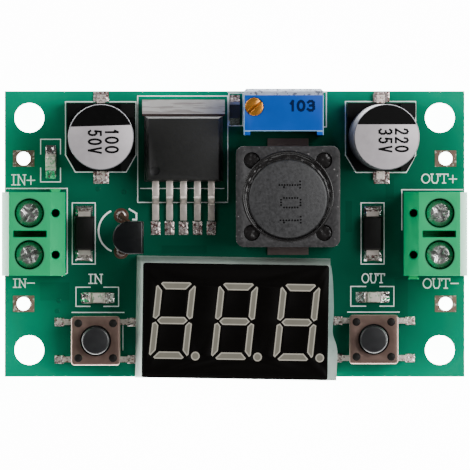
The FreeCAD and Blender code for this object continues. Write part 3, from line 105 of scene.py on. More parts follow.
world = bpy.data.worlds.new("studio")
world.use_nodes = True
world.node_tree.nodes["Background"].inputs["Color"].default_value = (1, 1, 1, 1)
world.node_tree.nodes["Background"].inputs["Strength"].default_value = 0.06
bpy.context.scene.world = world

camera_data = bpy.data.cameras.new("camera")
camera_data.type = "ORTHO"
camera_data.ortho_scale = photo_width
camera_data.clip_start = 0.01
camera_data.clip_end = 2
camera = bpy.data.objects.new("camera", camera_data)
camera.location = (*photo_centre, camera_height)
bpy.context.scene.collection.objects.link(camera)
bpy.context.scene.camera = camera

# Circuit board: glass-fibre sheet under green lacquer, with copper tracks beneath the lacquer.
# The lacquer's colour carries a painted sheen that brightens it toward the board's edges, and the sawn edges
# themselves are bare and pale.
board_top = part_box("circuit_board")[1][2]
top_mm = board_top / mm
half_length, half_width = 28.0, 17.4


def grain_group():
    """Fine and broad mottling of a colour, with a height for the bump."""
    group = bpy.data.node_groups.new("surface_grain", "ShaderNodeTree")
    face = group.interface
    for label, kind, value in (
        ("Colour", "NodeSocketColor", (0.5, 0.5, 0.5, 1)), ("Scale", "NodeSocketFloat", 500),
        ("Spread", "NodeSocketFloat", 0.1), ("Rough", "NodeSocketFloat", 0.5),
        ("Rough Spread", "NodeSocketFloat", 0.1),
    ):
        socket = face.new_socket(name=label, in_out="INPUT", socket_type=kind)
        socket.default_value = value
    face.new_socket(name="Colour", in_out="OUTPUT", socket_type="NodeSocketColor")
    face.new_socket(name="Roughness", in_out="OUTPUT", socket_type="NodeSocketFloat")
    face.new_socket(name="Height", in_out="OUTPUT", socket_type="NodeSocketFloat")
    tree = group.nodes
    link = group.links.new
    source = tree.new("NodeGroupInput")
    result = tree.new("NodeGroupOutput")
    place = tree.new("ShaderNodeTexCoord")
    fine = tree.new("ShaderNodeTexNoise")
    fine.inputs["Detail"].default_value = 5
    link(place.outputs["Object"], fine.inputs["Vector"])
    link(source.outputs["Scale"], fine.inputs["Scale"])
    shift = tree.new("ShaderNodeMath")
    shift.operation = "SUBTRACT"
    shift.inputs[1].default_value = 0.5
    link(fine.outputs["Fac"], shift.inputs[0])
    amount = tree.new("ShaderNodeMath")
    amount.operation = "MULTIPLY_ADD"
    amount.inputs[2].default_value = 1
    link(shift.outputs[0], amount.inputs[0])
    link(source.outputs["Spread"], amount.inputs[1])
    shade = tree.new("ShaderNodeVectorMath")
    shade.operation = "SCALE"
    link(source.outputs["Colour"], shade.inputs[0])
    link(amount.outputs[0], shade.inputs["Scale"])
    rough = tree.new("ShaderNodeMath")
    rough.operation = "MULTIPLY_ADD"
    link(shift.outputs[0], rough.inputs[0])
    link(source.outputs["Rough Spread"], rough.inputs[1])
    link(source.outputs["Rough"], rough.inputs[2])
    link(shade.outputs[0], result.inputs["Colour"])
    link(rough.outputs[0], result.inputs["Roughness"])
    link(fine.outputs["Fac"], result.inputs["Height"])
    return group


surface_grain = grain_group()


class Finish:
    """A material whose colour passes through the surface grain before it reaches the shader."""

    def __init__(self, name, colour, rough, metal=0.0, scale=900, spread=0.15, rough_spread=0.15, bump=0.1,
                 shine=0.5):
        self.material = bpy.data.materials.new(name)
        self.material.use_nodes = True
        self.tree = self.material.node_tree
        self.shader = self.tree.nodes["Principled BSDF"]
        self.shader.inputs["Metallic"].default_value = metal
        self.shader.inputs["Specular IOR Level"].default_value = shine
        self.grain = self.tree.nodes.new("ShaderNodeGroup")
        self.grain.node_tree = surface_grain
        self.grain.inputs["Colour"].default_value = (*colour, 1)
        self.grain.inputs["Scale"].default_value = scale
        self.grain.inputs["Spread"].default_value = spread
        self.grain.inputs["Rough"].default_value = rough
        self.grain.inputs["Rough Spread"].default_value = rough_spread
        self.link(self.grain.outputs["Colour"], self.shader.inputs["Base Color"])
        self.link(self.grain.outputs["Roughness"], self.shader.inputs["Roughness"])
        relief = self.tree.nodes.new("ShaderNodeBump")
        relief.inputs["Strength"].default_value = bump
        relief.inputs["Distance"].default_value = 0.00005
        self.link(self.grain.outputs["Height"], relief.inputs["Height"])
        self.link(relief.outputs["Normal"], self.shader.inputs["Normal"])

    def link(self, output, socket):
        self.tree.links.new(output, socket)

    def node(self, kind, **values):
        made = self.tree.nodes.new(kind)
        for key, value in values.items():
            setattr(made, key, value)
        return made

    def where(self):
        """Separated object coordinates in millimetres."""
        place = self.node("ShaderNodeTexCoord")
        scaled = self.node("ShaderNodeVectorMath", operation="SCALE")
        scaled.inputs["Scale"].default_value = 1 / mm
        parts = self.node("ShaderNodeSeparateXYZ")
        self.link(place.outputs["Object"], scaled.inputs[0])
        self.link(scaled.outputs[0], parts.inputs[0])
        return parts.outputs

    def math(self, operation, first, second=0.0, third=0.0):
        step = self.node("ShaderNodeMath", operation=operation)
        for index, value in enumerate((first, second, third)):
            if isinstance(value, (int, float)):
                step.inputs[index].default_value = value
            else:
                self.link(value, step.inputs[index])
        return step.outputs[0]

    def blend(self, mask, base, over):
        """Mixes two colours, each a socket or three numbers, by a mask."""
        mix = self.node("ShaderNodeMix", data_type="RGBA")
        for socket, value in ((mix.inputs[6], base), (mix.inputs[7], over)):
            if isinstance(value, tuple):
                socket.default_value = (*value, 1)
            else:
                self.link(value, socket)
        if isinstance(mask, (int, float)):
            mix.inputs[0].default_value = mask
        else:
            self.link(mask, mix.inputs[0])
        return mix.outputs[2]

    def away(self, value, middle):
        """Distance of a coordinate from a middle, in millimetres."""
        return self.math("ABSOLUTE", self.math("SUBTRACT", value, middle))

    def radius(self, across, along):
        return self.math("SQRT", self.math(
            "ADD", self.math("POWER", across, 2.0), self.math("POWER", along, 2.0)))

    def spots(self, scale, level, stretch=(1, 1, 1)):
        """Mask of the spots where a noise in object space rises above a level."""
        noise_field = self.node("ShaderNodeTexNoise")
        noise_field.inputs["Scale"].default_value = scale
        place = self.node("ShaderNodeTexCoord")
        stretched = self.node("ShaderNodeVectorMath", operation="MULTIPLY")
        stretched.inputs[1].default_value = stretch
        self.link(place.outputs["Object"], stretched.inputs[0])
        self.link(stretched.outputs[0], noise_field.inputs["Vector"])
        return self.math("GREATER_THAN", noise_field.outputs["Fac"], level)

    def colour_from(self, socket):
        self.link(socket, self.grain.inputs["Colour"])

    def on(self, *pieces):
        for piece in pieces:
            target = nodes[piece] if isinstance(piece, str) else piece
            target.data.materials.clear()
            target.data.materials.append(self.material)


def lacquer_finish(name, gain):
    """Green lacquer with a painted sheen: its colour is darkest in the middle and brightest along the board's
    edges.
    """
    finish = Finish(name, (0.0, 0.12, 0.07), 0.34, scale=260, spread=0.25, bump=0.12, shine=0.04)
    finish.shader.inputs["Coat Weight"].default_value = 0.03
    finish.shader.inputs["Coat Roughness"].default_value = 0.12
    x, y, z = finish.where()
    toward_end = finish.math("POWER", finish.math("DIVIDE", finish.away(x, 0.6), half_length), 5.0)
    toward_side = finish.math("POWER", finish.math("DIVIDE", finish.math("ABSOLUTE", y), half_width), 5.0)
    # painted sheen: this mask rises toward the board's ends and sides and mixes the green from a dark middle
    # to a bright edge colour
    sheen_mask = finish.math(
        "MULTIPLY_ADD", toward_side, 0.75, finish.math("MULTIPLY", toward_end, 0.72))
    sheen_mask = finish.math("MINIMUM", sheen_mask, 1.0)
    middle_green = (0.0, 0.070 * gain, 0.039 * gain)
    sheen_green = (0.0, 0.245 * gain, 0.136 * gain)
    green = finish.blend(sheen_mask, middle_green, sheen_green)
    on_edge = finish.math(
        "MAXIMUM",
        finish.math("GREATER_THAN", finish.math("ABSOLUTE", x), half_length - 0.03),
        finish.math("GREATER_THAN", finish.math("ABSOLUTE", y), half_width - 0.03),
    )
    sawn = finish.math("MULTIPLY", on_edge, finish.math("LESS_THAN", z, top_mm - 0.05))
    finish.colour_from(finish.blend(sawn, green, (0.30, 0.36, 0.20)))
    return finish


lacquer_finish("green_lacquer", 1.0).on("circuit_board")

# Copper tracks, seen as a faint step in the lacquer that covers them.
# Each is a thin sheet with the board's own lacquer, a little darker or brighter than around it.
track_height = 0.012
via_height = 0.06


def slab(bm, x0, x1, y0, y1, z0, z1, turn=0.0):
    """Adds a box in millimetres to a bmesh and gives its vertices."""
    place = Matrix.Translation(((x0 + x1) / 2 * mm, (y0 + y1) / 2 * mm, (z0 + z1) / 2 * mm))
    grow = Matrix.Diagonal(((x1 - x0) * mm, (y1 - y0) * mm, (z1 - z0) * mm, 1))
    spin = Matrix.Rotation(math.radians(turn), 4, "Z")
    return bmesh.ops.create_cube(bm, size=1, matrix=place @ spin @ grow)["verts"]


def strip(bm, start, end, width, z0, z1):
    """Adds a straight bar between two points of the board, a hair higher than the bar before it."""
    z1 += len(bm.verts) // 8 % 40 * 0.0004
    run = Vector((end[0] - start[0], end[1] - start[1]))
    middle = ((start[0] + end[0]) / 2, (start[1] + end[1]) / 2)
    half = run.length / 2 + width / 2
    turn = math.degrees(math.atan2(run.y, run.x))
    return slab(
        bm, middle[0] - half, middle[0] + half, middle[1] - width / 2, middle[1] + width / 2,
        z0, z1, turn,
    )


# start and end of each track, and its width
tracks = (
    ((-22.6, -7.0), (-21.2, -7.0), 2.2), ((-20.6, 3.0), (-20.6, -3.4), 0.6),
    ((-8.4, -1.9), (-3.9, -1.9), 1.0), ((13.9, 0.6), (13.9, 3.6), 0.8),
    ((18.9, 4.8), (18.9, 6.4), 1.0), ((20.3, -6.2), (20.3, -9.6), 1.6),
)
track_bm = bmesh.new()
for start, end, width in tracks:
    strip(track_bm, start, end, width, top_mm - 0.01, top_mm + track_height)
for via_x, via_y in ((-16.64, 5.48), (-13.47, 5.11), (-21.6, -9.4), (-21.4, -8.1), (12.4, 6.7)):
    bmesh.ops.create_cone(
        track_bm, cap_ends=True, segments=24, radius1=0.32 * mm, radius2=0.2 * mm, depth=via_height * mm,
        matrix=Matrix.Translation((via_x * mm, via_y * mm, board_top + via_height / 2 * mm)),
    )
track_sheets = new_object("lacquered_tracks", track_bm)
lacquer_finish("lacquer_over_copper", 0.84).on(track_sheets)

# Silkscreen: white ink printed on the lacquer, about 0.12 mm wide and a few hundredths proud.
# It outlines each component's place and labels the terminals and lights.
ink = Finish("white_ink", (0.93, 0.97, 0.95), 0.6, scale=1500, spread=0.15, bump=0.15, shine=0.3)
ink_width = 0.12
ink_low = top_mm - 0.005
ink_high = top_mm + 0.03
ink_bm = bmesh.new()


def ink_line(*points, width=ink_width):
    for index in range(len(points) - 1):
        strip(ink_bm, points[index], points[index + 1], width, ink_low, ink_high)


def ink_arc(centre, radius, start, end, width=ink_width, steps=24):
    turns = [math.radians(start + (end - start) * step / steps) for step in range(steps + 1)]
    points = [(centre[0] + radius * math.cos(turn), centre[1] + radius * math.sin(turn)) for turn in turns]
    ink_line(*points, width=width)


def ink_box(x0, x1, y0, y1):
    ink_line((x0, y0), (x1, y0), (x1, y1), (x0, y1), (x0, y0))


# capacitor places with cut lower corners
ink_line((-17.0, 7.53), (-19.40, 7.53), (-20.60, 9.62), (-20.60, 16.10), (-17.1, 16.10))
ink_line((-15.2, 16.10), (-12.01, 16.10), (-12.01, 9.62), (-13.20, 7.53), (-15.4, 7.53))
ink_line((17.0, 7.49), (14.78, 7.49), (13.50, 9.60), (13.50, 16.13), (16.9, 16.13))
ink_line((18.9, 16.13), (22.05, 16.13), (22.05, 9.60), (20.92, 7.49), (18.9, 7.49))
# regulator, top resistor and trimmer bracket
ink_box(-11.80, -0.83, 3.84, 16.80)
ink_line((-11.43, 5.54), (-1.29, 5.54))
ink_box(-0.70, 1.01, 13.17, 17.17)
ink_line((10.3, 17.3), (11.18, 17.3), (11.18, 13.03), (10.6, 13.03))
# terminals
ink_line((-27.88, 5.54), (-20.38, 5.54), (-20.38, -4.76), (-21.0, -5.12))
ink_line((20.37, 0.5), (20.37, 5.39), (27.78, 5.39))
# diodes
ink_box(-19.77, -16.97, -3.67, 3.78)
ink_box(15.41, 18.21, -3.67, 3.79)
# small regulator: broken ring and the flat front's corner
ink_arc((-13.88, 0.36), 2.69, 118, 244, 0.21)
ink_line((-12.80, 3.01), (-11.96, 2.50), (-11.96, 1.75), (-12.36, 1.75), width=0.2)
# lights
ink_line((-23.63, 9.74), (-23.63, 11.53), (-21.21, 11.53), (-21.21, 9.74))
ink_line((-23.63, 8.03), (-23.63, 6.34), (-21.21, 6.34), (-21.21, 8.03))
ink_line((-17.61, -6.49), (-19.32, -6.49), (-19.32, -8.82), (-17.61, -8.82))
ink_line((-15.93, -6.49), (-14.13, -6.49), (-14.13, -8.82), (-15.93, -8.82))
ink_line((15.97, -6.40), (14.15, -6.40), (14.15, -8.80), (15.97, -8.80))
ink_line((17.71, -6.40), (19.40, -6.40), (19.40, -8.80), (17.71, -8.80))
# switches
ink_line((-19.80, -9.56), (-13.48, -9.56))
ink_line((-13.60, -11.22), (-13.60, -14.14))
ink_line((13.78, -9.52), (20.07, -9.52))
# labels in upright letters with short feet: each stroke is a path through points of a unit square
oval = tuple(
    (0.5 + 0.5 * math.cos(math.tau * step / 16), 0.5 + 0.5 * math.sin(math.tau * step / 16))
    for step in range(17)
)
letters = {
    "I": (((0.5, 0), (0.5, 1)), ((0.1, 0), (0.9, 0)), ((0.1, 1), (0.9, 1))),
    "N": (
        ((0.14, 0), (0.14, 1), (0.86, 0), (0.86, 1)), ((0, 0), (0.3, 0)), ((0, 1), (0.2, 1)),
        ((0.7, 1), (1, 1)),
    ),
    "O": (oval,),
    "U": (
        ((0.12, 1), (0.12, 0.3), (0.3, 0), (0.7, 0), (0.88, 0.3), (0.88, 1)), ((0, 1), (0.28, 1)),
        ((0.72, 1), (1, 1)),
    ),
    "T": (((0.5, 0), (0.5, 1)), ((0, 0.8), (0, 1), (1, 1), (1, 0.8)), ((0.3, 0), (0.7, 0))),
    "V": (((0, 1), (0.5, 0), (1, 1)),),
    "+": (((0, 0.45), (1, 0.45)), ((0.5, 0.05), (0.5, 0.85))),
    "-": (((0, 0.5), (1, 0.5)),),
    "0": (oval,),
    "1": (((0.15, 0.76), (0.6, 1), (0.6, 0)),),
    "2": (
        ((0.06, 0.74), (0.16, 0.92), (0.5, 1), (0.84, 0.92), (0.92, 0.72), (0.8, 0.5), (0.04, 0), (0.98, 0)),
    ),
    "3": (
        ((0.06, 0.88), (0.3, 1), (0.66, 1), (0.9, 0.86), (0.9, 0.68), (0.7, 0.54), (0.36, 0.52)),
        ((0.7, 0.54), (0.94, 0.38), (0.94, 0.18), (0.7, 0), (0.3, 0), (0.02, 0.12)),
    ),
    "5": (
        ((0.9, 1), (0.2, 1), (0.12, 0.54), (0.34, 0.62), (0.62, 0.62), (0.88, 0.48), (0.94, 0.28),
         (0.84, 0.1), (0.6, 0), (0.3, 0), (0.04, 0.12)),
    ),
}
letter_shares = {"I": 0.55, "-": 0.9, "+": 0.9, "1": 0.62}
label_stroke = 0.135
label_gap = 0.15


def write_words(bm, text, x0, x1, y0, y1, width, gap, z0, z1):
    """Adds the strokes of a word that fills the given box, in millimetres."""
    shares = [letter_shares.get(letter, 1.0) for letter in text]
    unit = (x1 - x0 - gap * (len(text) - 1)) / sum(shares)
    left = x0
    for letter, share in zip(text, shares):
        for path in letters[letter]:
            points = [(left + along * share * unit, y0 + up * (y1 - y0)) for along, up in path]
            for start, end in zip(points, points[1:]):
                strip(bm, start, end, width, z0, z1)
        left += share * unit + gap


for label in (
    ("IN+", -27.20, -24.35, 5.98, 7.20), ("IN-", -26.98, -24.40, -6.50, -5.48),
    ("OUT+", 22.80, 27.02, 6.20, 7.28), ("OUT-", 22.98, 27.24, -6.60, -5.46),
    ("IN", -17.80, -16.10, -6.02, -4.92), ("OUT", 15.53, 18.26, -5.94, -4.85),
):
    write_words(ink_bm, *label, label_stroke, label_gap, ink_low, ink_high)
ink_lines = new_object("printed_outlines", ink_bm)
ink.on(ink_lines)

# Wire pads: square pads of bare tinned copper round plated holes, for wires that are soldered on.
# They have dulled to a pinkish brown with brighter specks.
pad_metal = Finish(
    "dull_tinned_copper", (0.20, 0.12, 0.095), 0.42, metal=0.35, scale=1500, spread=0.7, bump=0.5)
pad_metal.colour_from(pad_metal.blend(pad_metal.spots(2600, 0.60), (0.19, 0.11, 0.085), (0.50, 0.42, 0.38)))
pad_metal.on("wire_pads")

# Solder: bright tin that has flowed over pads and leads and set in soft uneven mounds.
# Each surface-mount lead foot sits in a low mound on a pad; pins have a cone below the board.
solder_metal = Finish(
    "set_solder", (0.50, 0.43, 0.40), 0.28, metal=0.65, scale=3600, spread=0.6, rough_spread=0.3, bump=0.7)
# painted glints and painted shade: pale spots stand in for glints on the crinkled tin, and dark brown spots
# for shade in its crinkles
glinting_tin = solder_metal.blend(solder_metal.spots(3600, 0.60), (0.47, 0.395, 0.375), (0.84, 0.79, 0.76))
painted_crinkle_shade = solder_metal.math("SUBTRACT", 1.0, solder_metal.spots(3100, 0.43))
glint_and_shade_tin = solder_metal.blend(painted_crinkle_shade, glinting_tin, (0.17, 0.085, 0.08))
# painted shadow: the solder at the lower end of the small chip beside the trimmer is coloured near-black, as
# if in shade
chip_x, chip_y = 0.02, 15.1
x, y, z = solder_metal.where()
painted_shadow_end = solder_metal.math(
    "MULTIPLY",
    solder_metal.math("LESS_THAN", solder_metal.math("ABSOLUTE", x), 0.8),
    solder_metal.math("LESS_THAN", solder_metal.away(y, chip_y - 1.2), 0.8))
solder_metal.colour_from(solder_metal.blend(painted_shadow_end, glint_and_shade_tin, (0.012, 0.018, 0.017)))
solder_metal.on("solder_joints")


def solder_patch(bm, x, y, length, width, inner, outer, turn=0.0, crinkle=0.06, valley=0.0):
    """Adds a wetted pad whose top falls from its inner to its outer height along the turned X axis."""
    pad = bmesh.new()
    bmesh.ops.create_cube(pad, size=2)
    bmesh.ops.subdivide_edges(pad, edges=pad.edges[:], cuts=9, use_grid_fill=True)
    for vertex in pad.verts:
        u, v, w = vertex.co
        ripple = noise.noise(Vector((x * 5 + u * length * 3.1, y * 5 + v * width * 3.1, 7.3)))
        rim = max(abs(u), abs(v)) ** 8
        out = max(0.0, (1 + u) / 2)
        dip = 1 - valley * out * max(0.0, 1 - abs(v) / 0.8)
        height = (inner + (outer - inner) * out ** 0.6 + crinkle * ripple) * (1 - 0.35 * rim) * dip
        vertex.co = Vector((
            (u * length / 2 + 0.03 * ripple) * mm, (v * width / 2 + 0.03 * ripple) * mm,
            (w + 1) / 2 * max(height, 0.03) * mm,
        ))
    place = Matrix.Translation((x * mm, y * mm, board_top)) @ Matrix.Rotation(math.radians(turn), 4, "Z")
    bmesh.ops.transform(pad, matrix=place, verts=pad.verts)
    shaped = bpy.data.meshes.new("pad")
    pad.to_mesh(shaped)
    pad.free()
    bm.from_mesh(shaped)
    bpy.data.meshes.remove(shaped)


patch_bm = bmesh.new()
lead_pitch = 1.7
for index in range(5):
    solder_patch(patch_bm, -6.22 + (index - 2) * lead_pitch, 0.70, 1.63, 1.12, 0.22, 0.10, -90, 0.10)
for can_x in (-16.26, 17.92):
    solder_patch(patch_bm, can_x, 16.72, 1.30, 1.88, 0.24, 0.12, 90, 0.10)
    solder_patch(patch_bm, can_x, 6.86, 1.47, 1.88, 0.24, 0.12, -90, 0.10)
switches = (("input", -16.93, -13.01), ("output", 16.96, -12.84))
for name, switch_x, switch_y in switches:
    for side in (-1, 1):
        for row in (-1, 1):
            turn = 0 if side > 0 else 180
            solder_patch(
                patch_bm, switch_x + side * 4.42, switch_y + row * 2.275, 1.15, 1.02, 0.26, 0.12, turn, 0.12)
# the solder at the diodes, the lights and the small chip is smooth and mirrors what is around it
wet_solder = Finish("wet_solder", (0.56, 0.54, 0.52), 0.16, metal=0.95, scale=1500, spread=0.3, bump=0.35)
fillet_bm = bmesh.new()
for diode_x, diode_width in ((-18.34, 2.05), (16.83, 2.15)):
    solder_patch(fillet_bm, diode_x, 2.85, 1.15, diode_width, 1.25, 0.12, 90, 0.04)
    solder_patch(fillet_bm, diode_x, -2.68, 1.25, diode_width, 1.25, 0.12, -90, 0.04)
for light_x, light_y, turn in ((-22.40, 8.76, 90), (-16.69, -7.80, 0), (16.81, -7.71, 0)):
    for end in (0, 180):
        way = Vector((math.cos(math.radians(turn + end)), math.sin(math.radians(turn + end))))
        solder_patch(
            fillet_bm, light_x + way.x * 1.50, light_y + way.y * 1.50, 1.10, 1.25, 0.66, 0.12, turn + end,
            0.16, 0.85)
solder_patch(fillet_bm, chip_x, chip_y + 1.2, 0.42, 1.12, 0.45, 0.08, 90, 0.05, 0.5)


def round_shading(piece, crease=None):
    """Shades a piece smoothly, except across edges that are sharper than the crease in degrees."""
    for polygon in piece.data.polygons:
        polygon.use_smooth = True
    if crease:
        piece.data.set_sharp_from_angle(angle=math.radians(crease))


for name, finish, solder_bm in (
    ("solder_pads", solder_metal, patch_bm), ("smooth_fillets", wet_solder, fillet_bm),
):
    patches = new_object(name, solder_bm)
    round_shading(patches, 50)
    finish.on(patches)

# Capacitors: drawn aluminium cans crimped over a rubber bung, each on a black plastic seat.
# A black half-moon on top marks the negative side, beside the value in black ink.
aluminium = Finish("drawn_aluminium", (0.40, 0.37, 0.385), 0.52, metal=0.4, scale=1400, spread=0.3, bump=0.1)
# painted shade: a much darker copy of the aluminium for the can's walls and rim
shaded_can_wall = Finish("shaded_can_wall", (0.07, 0.07, 0.077), 0.52, metal=0.4, scale=1400, spread=0.3, bump=0.1)
seat_plastic = Finish(
    "seat_plastic", (0.002, 0.002, 0.002), 0.5, scale=1500, spread=0.3, bump=0.2, shine=0.12)
tin_plate = Finish("tin_plate", (0.66, 0.58, 0.53), 0.32, metal=0.5, scale=1500, spread=0.55, bump=0.5)
crinkled_tin = Finish("crinkled_tin", (0.70, 0.60, 0.54), 0.3, metal=0.5, scale=3200, spread=0.9, bump=0.8)
# painted shade: dark brown spots stand in for shade in the crinkles of the tin
crinkled_tin.colour_from(crinkled_tin.blend(
    crinkled_tin.spots(3300, 0.60), (0.76, 0.66, 0.60), (0.30, 0.19, 0.16)))
black_ink = Finish("black_ink", (0.0012, 0.0012, 0.0012), 0.45, scale=1500, spread=0.3, bump=0.1, shine=0.08)
can_top = 10.2
can_flat = 3.9
can_profile = (
    (0.0, 0.9), (3.65, 0.9), (3.9, 1.0), (4.0, 1.25), (4.0, 2.25), (3.93, 2.38), (3.75, 2.55), (3.66, 2.75),
    (3.75, 2.95), (3.93, 3.12), (4.0, 3.25), (4.0, 10.06), (3.98, 10.13), (3.95, 10.17), (can_flat, can_top),
    (0.0, can_top),
)


def lathe(name, profile, steps=96):
    """Turns (radius, height) points in millimetres round the Z axis."""
    bm = bmesh.new()
    line = [bm.verts.new((radius * mm, 0, height * mm)) for radius, height in profile]
    for index in range(len(line) - 1):
        bm.edges.new((line[index], line[index + 1]))
    bmesh.ops.spin(
        bm, geom=bm.verts[:] + bm.edges[:], cent=(0, 0, 0), axis=(0, 0, 1),
        angle=math.tau, steps=steps, use_merge=True,
    )
    bmesh.ops.remove_doubles(bm, verts=bm.verts, dist=1e-8)
    bmesh.ops.recalc_face_normals(bm, faces=bm.faces)
    piece = new_object(name, bm)
    round_shading(piece, 32)
    return piece


def half_moon(name, radius, chord, z0, z1):
    """Thin black segment of a disc above a chord, in millimetres from the can's axis."""
    bm = bmesh.new()
    bmesh.ops.create_circle(bm, cap_ends=True, segments=96, radius=radius * mm)
    cut = bmesh.ops.bisect_plane(
        bm, geom=bm.verts[:] + bm.edges[:] + bm.faces[:], plane_co=(0, chord * mm, 0),
        plane_no=(0, -1, 0), clear_outer=True,
    )
    bmesh.ops.translate(bm, verts=bm.verts, vec=(0, 0, z0 * mm))
    grown = bmesh.ops.extrude_face_region(bm, geom=bm.faces[:])
    lifted = [part for part in grown["geom"] if isinstance(part, bmesh.types.BMVert)]
    bmesh.ops.translate(bm, verts=lifted, vec=(0, 0, (z1 - z0) * mm))
    bmesh.ops.recalc_face_normals(bm, faces=bm.faces)
    return new_object(name, bm)


# name, place, lean, the black mark's chord and turn, and each word with its middle
cans = (
    ("input_capacitor", -16.28, 11.8, 0.0, 1.36, 1.7, (("100", 1.33, -0.51), ("50V", -0.74, -0.57))),
    ("output_capacitor", 17.77, 11.8, 4.3, 1.54, 0.0, (("220", 1.83, -0.38), ("35V", -0.17, -0.41))),
)
seat_half = 4.15
mark_length = 2.70
mark_height = 1.46
mark_stroke = 0.25
mark_gap = 0.48
for name, can_x, can_y, lean, chord, chord_turn, marks in cans:
    hinge = Matrix.Translation((seat_half * mm, 0, 0))
    tilt = hinge @ Matrix.Rotation(math.radians(lean), 4, "Y") @ hinge.inverted()
    place = Matrix.Translation((can_x * mm, can_y * mm, board_top)) @ tilt
    can = lathe(name + "_can_finished", can_profile)
    can.data.transform(place)
    for finish in (aluminium, shaded_can_wall):
        can.data.materials.append(finish.material)
    # the flat top gets the aluminium, and every steeper face gets the painted shade
    for polygon in can.data.polygons:
        polygon.material_index = 0 if polygon.normal.z > 0.93 else 1
    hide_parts(name + "_can")
    moon = half_moon(name + "_polarity_mark", can_flat, chord, can_top - 0.01, can_top + 0.012)
    moon.data.transform(place @ Matrix.Rotation(math.radians(chord_turn), 4, "Z"))
    black_ink.on(moon)
    word_bm = bmesh.new()
    for text, mark_x, mark_y in marks:
        write_words(
            word_bm, text, -mark_y - mark_length / 2, -mark_y + mark_length / 2,
            mark_x - mark_height / 2, mark_x + mark_height / 2, mark_stroke, mark_gap,
            can_top - 0.01, can_top + 0.005)
    words = new_object(name + "_value_mark", word_bm)
    words.data.transform(place @ Matrix.Rotation(math.radians(-90), 4, "Z"))
    black_ink.on(words)
    seat_plastic.on(name + "_seat")
    crinkled_tin.on(name + "_leads")

# Power regulator: matt black epoxy moulding with a tinned heat tab behind and five formed leads.
# The tab's top is bare tin, lightly brushed, and a shallow round dimple marks the first lead.
heat_tab = Finish("tinned_tab", (0.60, 0.58, 0.56), 0.36, metal=0.45, scale=900, spread=0.25, bump=0.25)
x, y, z = heat_tab.where()
brushed = heat_tab.blend(heat_tab.spots(3400, 0.54, (0.07, 1, 1)), (0.64, 0.62, 0.60), (0.44, 0.40, 0.39))
tab_shadow_y = 14.62
# painted shadow: the tab's strip nearest the moulding is coloured dark brown
heat_tab.colour_from(heat_tab.blend(
    heat_tab.math("LESS_THAN", y, tab_shadow_y), brushed, (0.045, 0.026, 0.024)))
regulator_epoxy = Finish(
    "regulator_epoxy", (0.0085, 0.0085, 0.008), 0.5, scale=2200, spread=0.5, rough_spread=0.2, bump=0.35,
    shine=0.3)
dimple_x, dimple_y, dimple_radius = -9.67, 7.72, 0.55
x, y, z = regulator_epoxy.where()
from_dimple = regulator_epoxy.radius(
    regulator_epoxy.away(x, dimple_x), regulator_epoxy.away(y, dimple_y))
regulator_epoxy.colour_from(regulator_epoxy.blend(
    regulator_epoxy.math("LESS_THAN", from_dimple, dimple_radius),
    (0.0068, 0.0068, 0.0064), (0.001, 0.001, 0.001)))


def softened(node, width, segments=2, angle=25, smooth=True):
    """A copy of a CAD node with its sharp edges rounded, which takes the node's place."""
    bm = bmesh.new()
    bm.from_mesh(nodes[node].data)
    bmesh.ops.remove_doubles(bm, verts=bm.verts, dist=1e-7)
    bmesh.ops.dissolve_limit(
        bm, angle_limit=math.radians(1), verts=bm.verts, edges=bm.edges, delimit=set())
    sharp = [edge for edge in bm.edges if len(edge.link_faces) == 2
             and edge.calc_face_angle(0) > math.radians(angle)]
    bmesh.ops.bevel(
        bm, geom=sharp, offset=width * mm, offset_type="OFFSET", affect="EDGES", segments=segments,
        profile=0.5, clamp_overlap=True, material=-1,
    )
    bmesh.ops.triangulate(bm, faces=bm.faces)
    for face in bm.faces:
        face.smooth = smooth
    piece = new_object(node + "_finished", bm)
    piece.data.set_sharp_from_angle(angle=math.radians(40))
    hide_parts(node)
    return piece


regulator_body = softened("regulator_body", 0.07, 2)
regulator_epoxy.on(regulator_body)
heat_tab.on("regulator_tab")
regulator_leads = softened("regulator_leads", 0.06, 2)
tin_plate.on(regulator_leads)

# Inductor: ground grey-black ferrite drum glued inside a square ferrite shield.
# Resin fills the ring between them, laps over its rim and glints at the four widened corners.
ferrite = Finish(
    "ground_ferrite", (0.017, 0.016, 0.017), 0.45, scale=3000, spread=2.2, rough_spread=0.3, bump=0.5)
ferrite.colour_from(ferrite.blend(ferrite.spots(2600, 0.70), (0.0155, 0.0147, 0.0155), (0.16, 0.15, 0.15)))
drum_ferrite = Finish(
    "drum_ferrite", (0.0185, 0.0185, 0.0195), 0.5, scale=3000, spread=2.0, rough_spread=0.3, bump=0.4)
copper_wire = Finish("lacquered_copper", (0.62, 0.28, 0.13), 0.25, metal=0.9, scale=400, spread=0.3)
shield = softened("inductor_shield", 0.12, 3, angle=50)
ferrite.on(shield)
drum = softened("inductor_drum", 0.1, 2, angle=40)
drum_ferrite.on(drum)
copper_wire.on("inductor_winding")
dull_tin = Finish("dull_tin", (0.115, 0.085, 0.08), 0.45, metal=0.3, scale=1300, spread=0.5, bump=0.3)
dull_tin.on("inductor_clips")
glue = Finish("dark_resin", (0.009, 0.008, 0.008), 0.26, scale=1300, spread=0.6, bump=0.3, shine=0.35)
inductor_x, inductor_y = 6.51, 4.55
drum_y = inductor_y - 0.3
ring_top = top_mm + 7.62
glue_bm = bmesh.new()
around = 180
across = 6
drum_edge, bore_edge = 4.88, 5.29
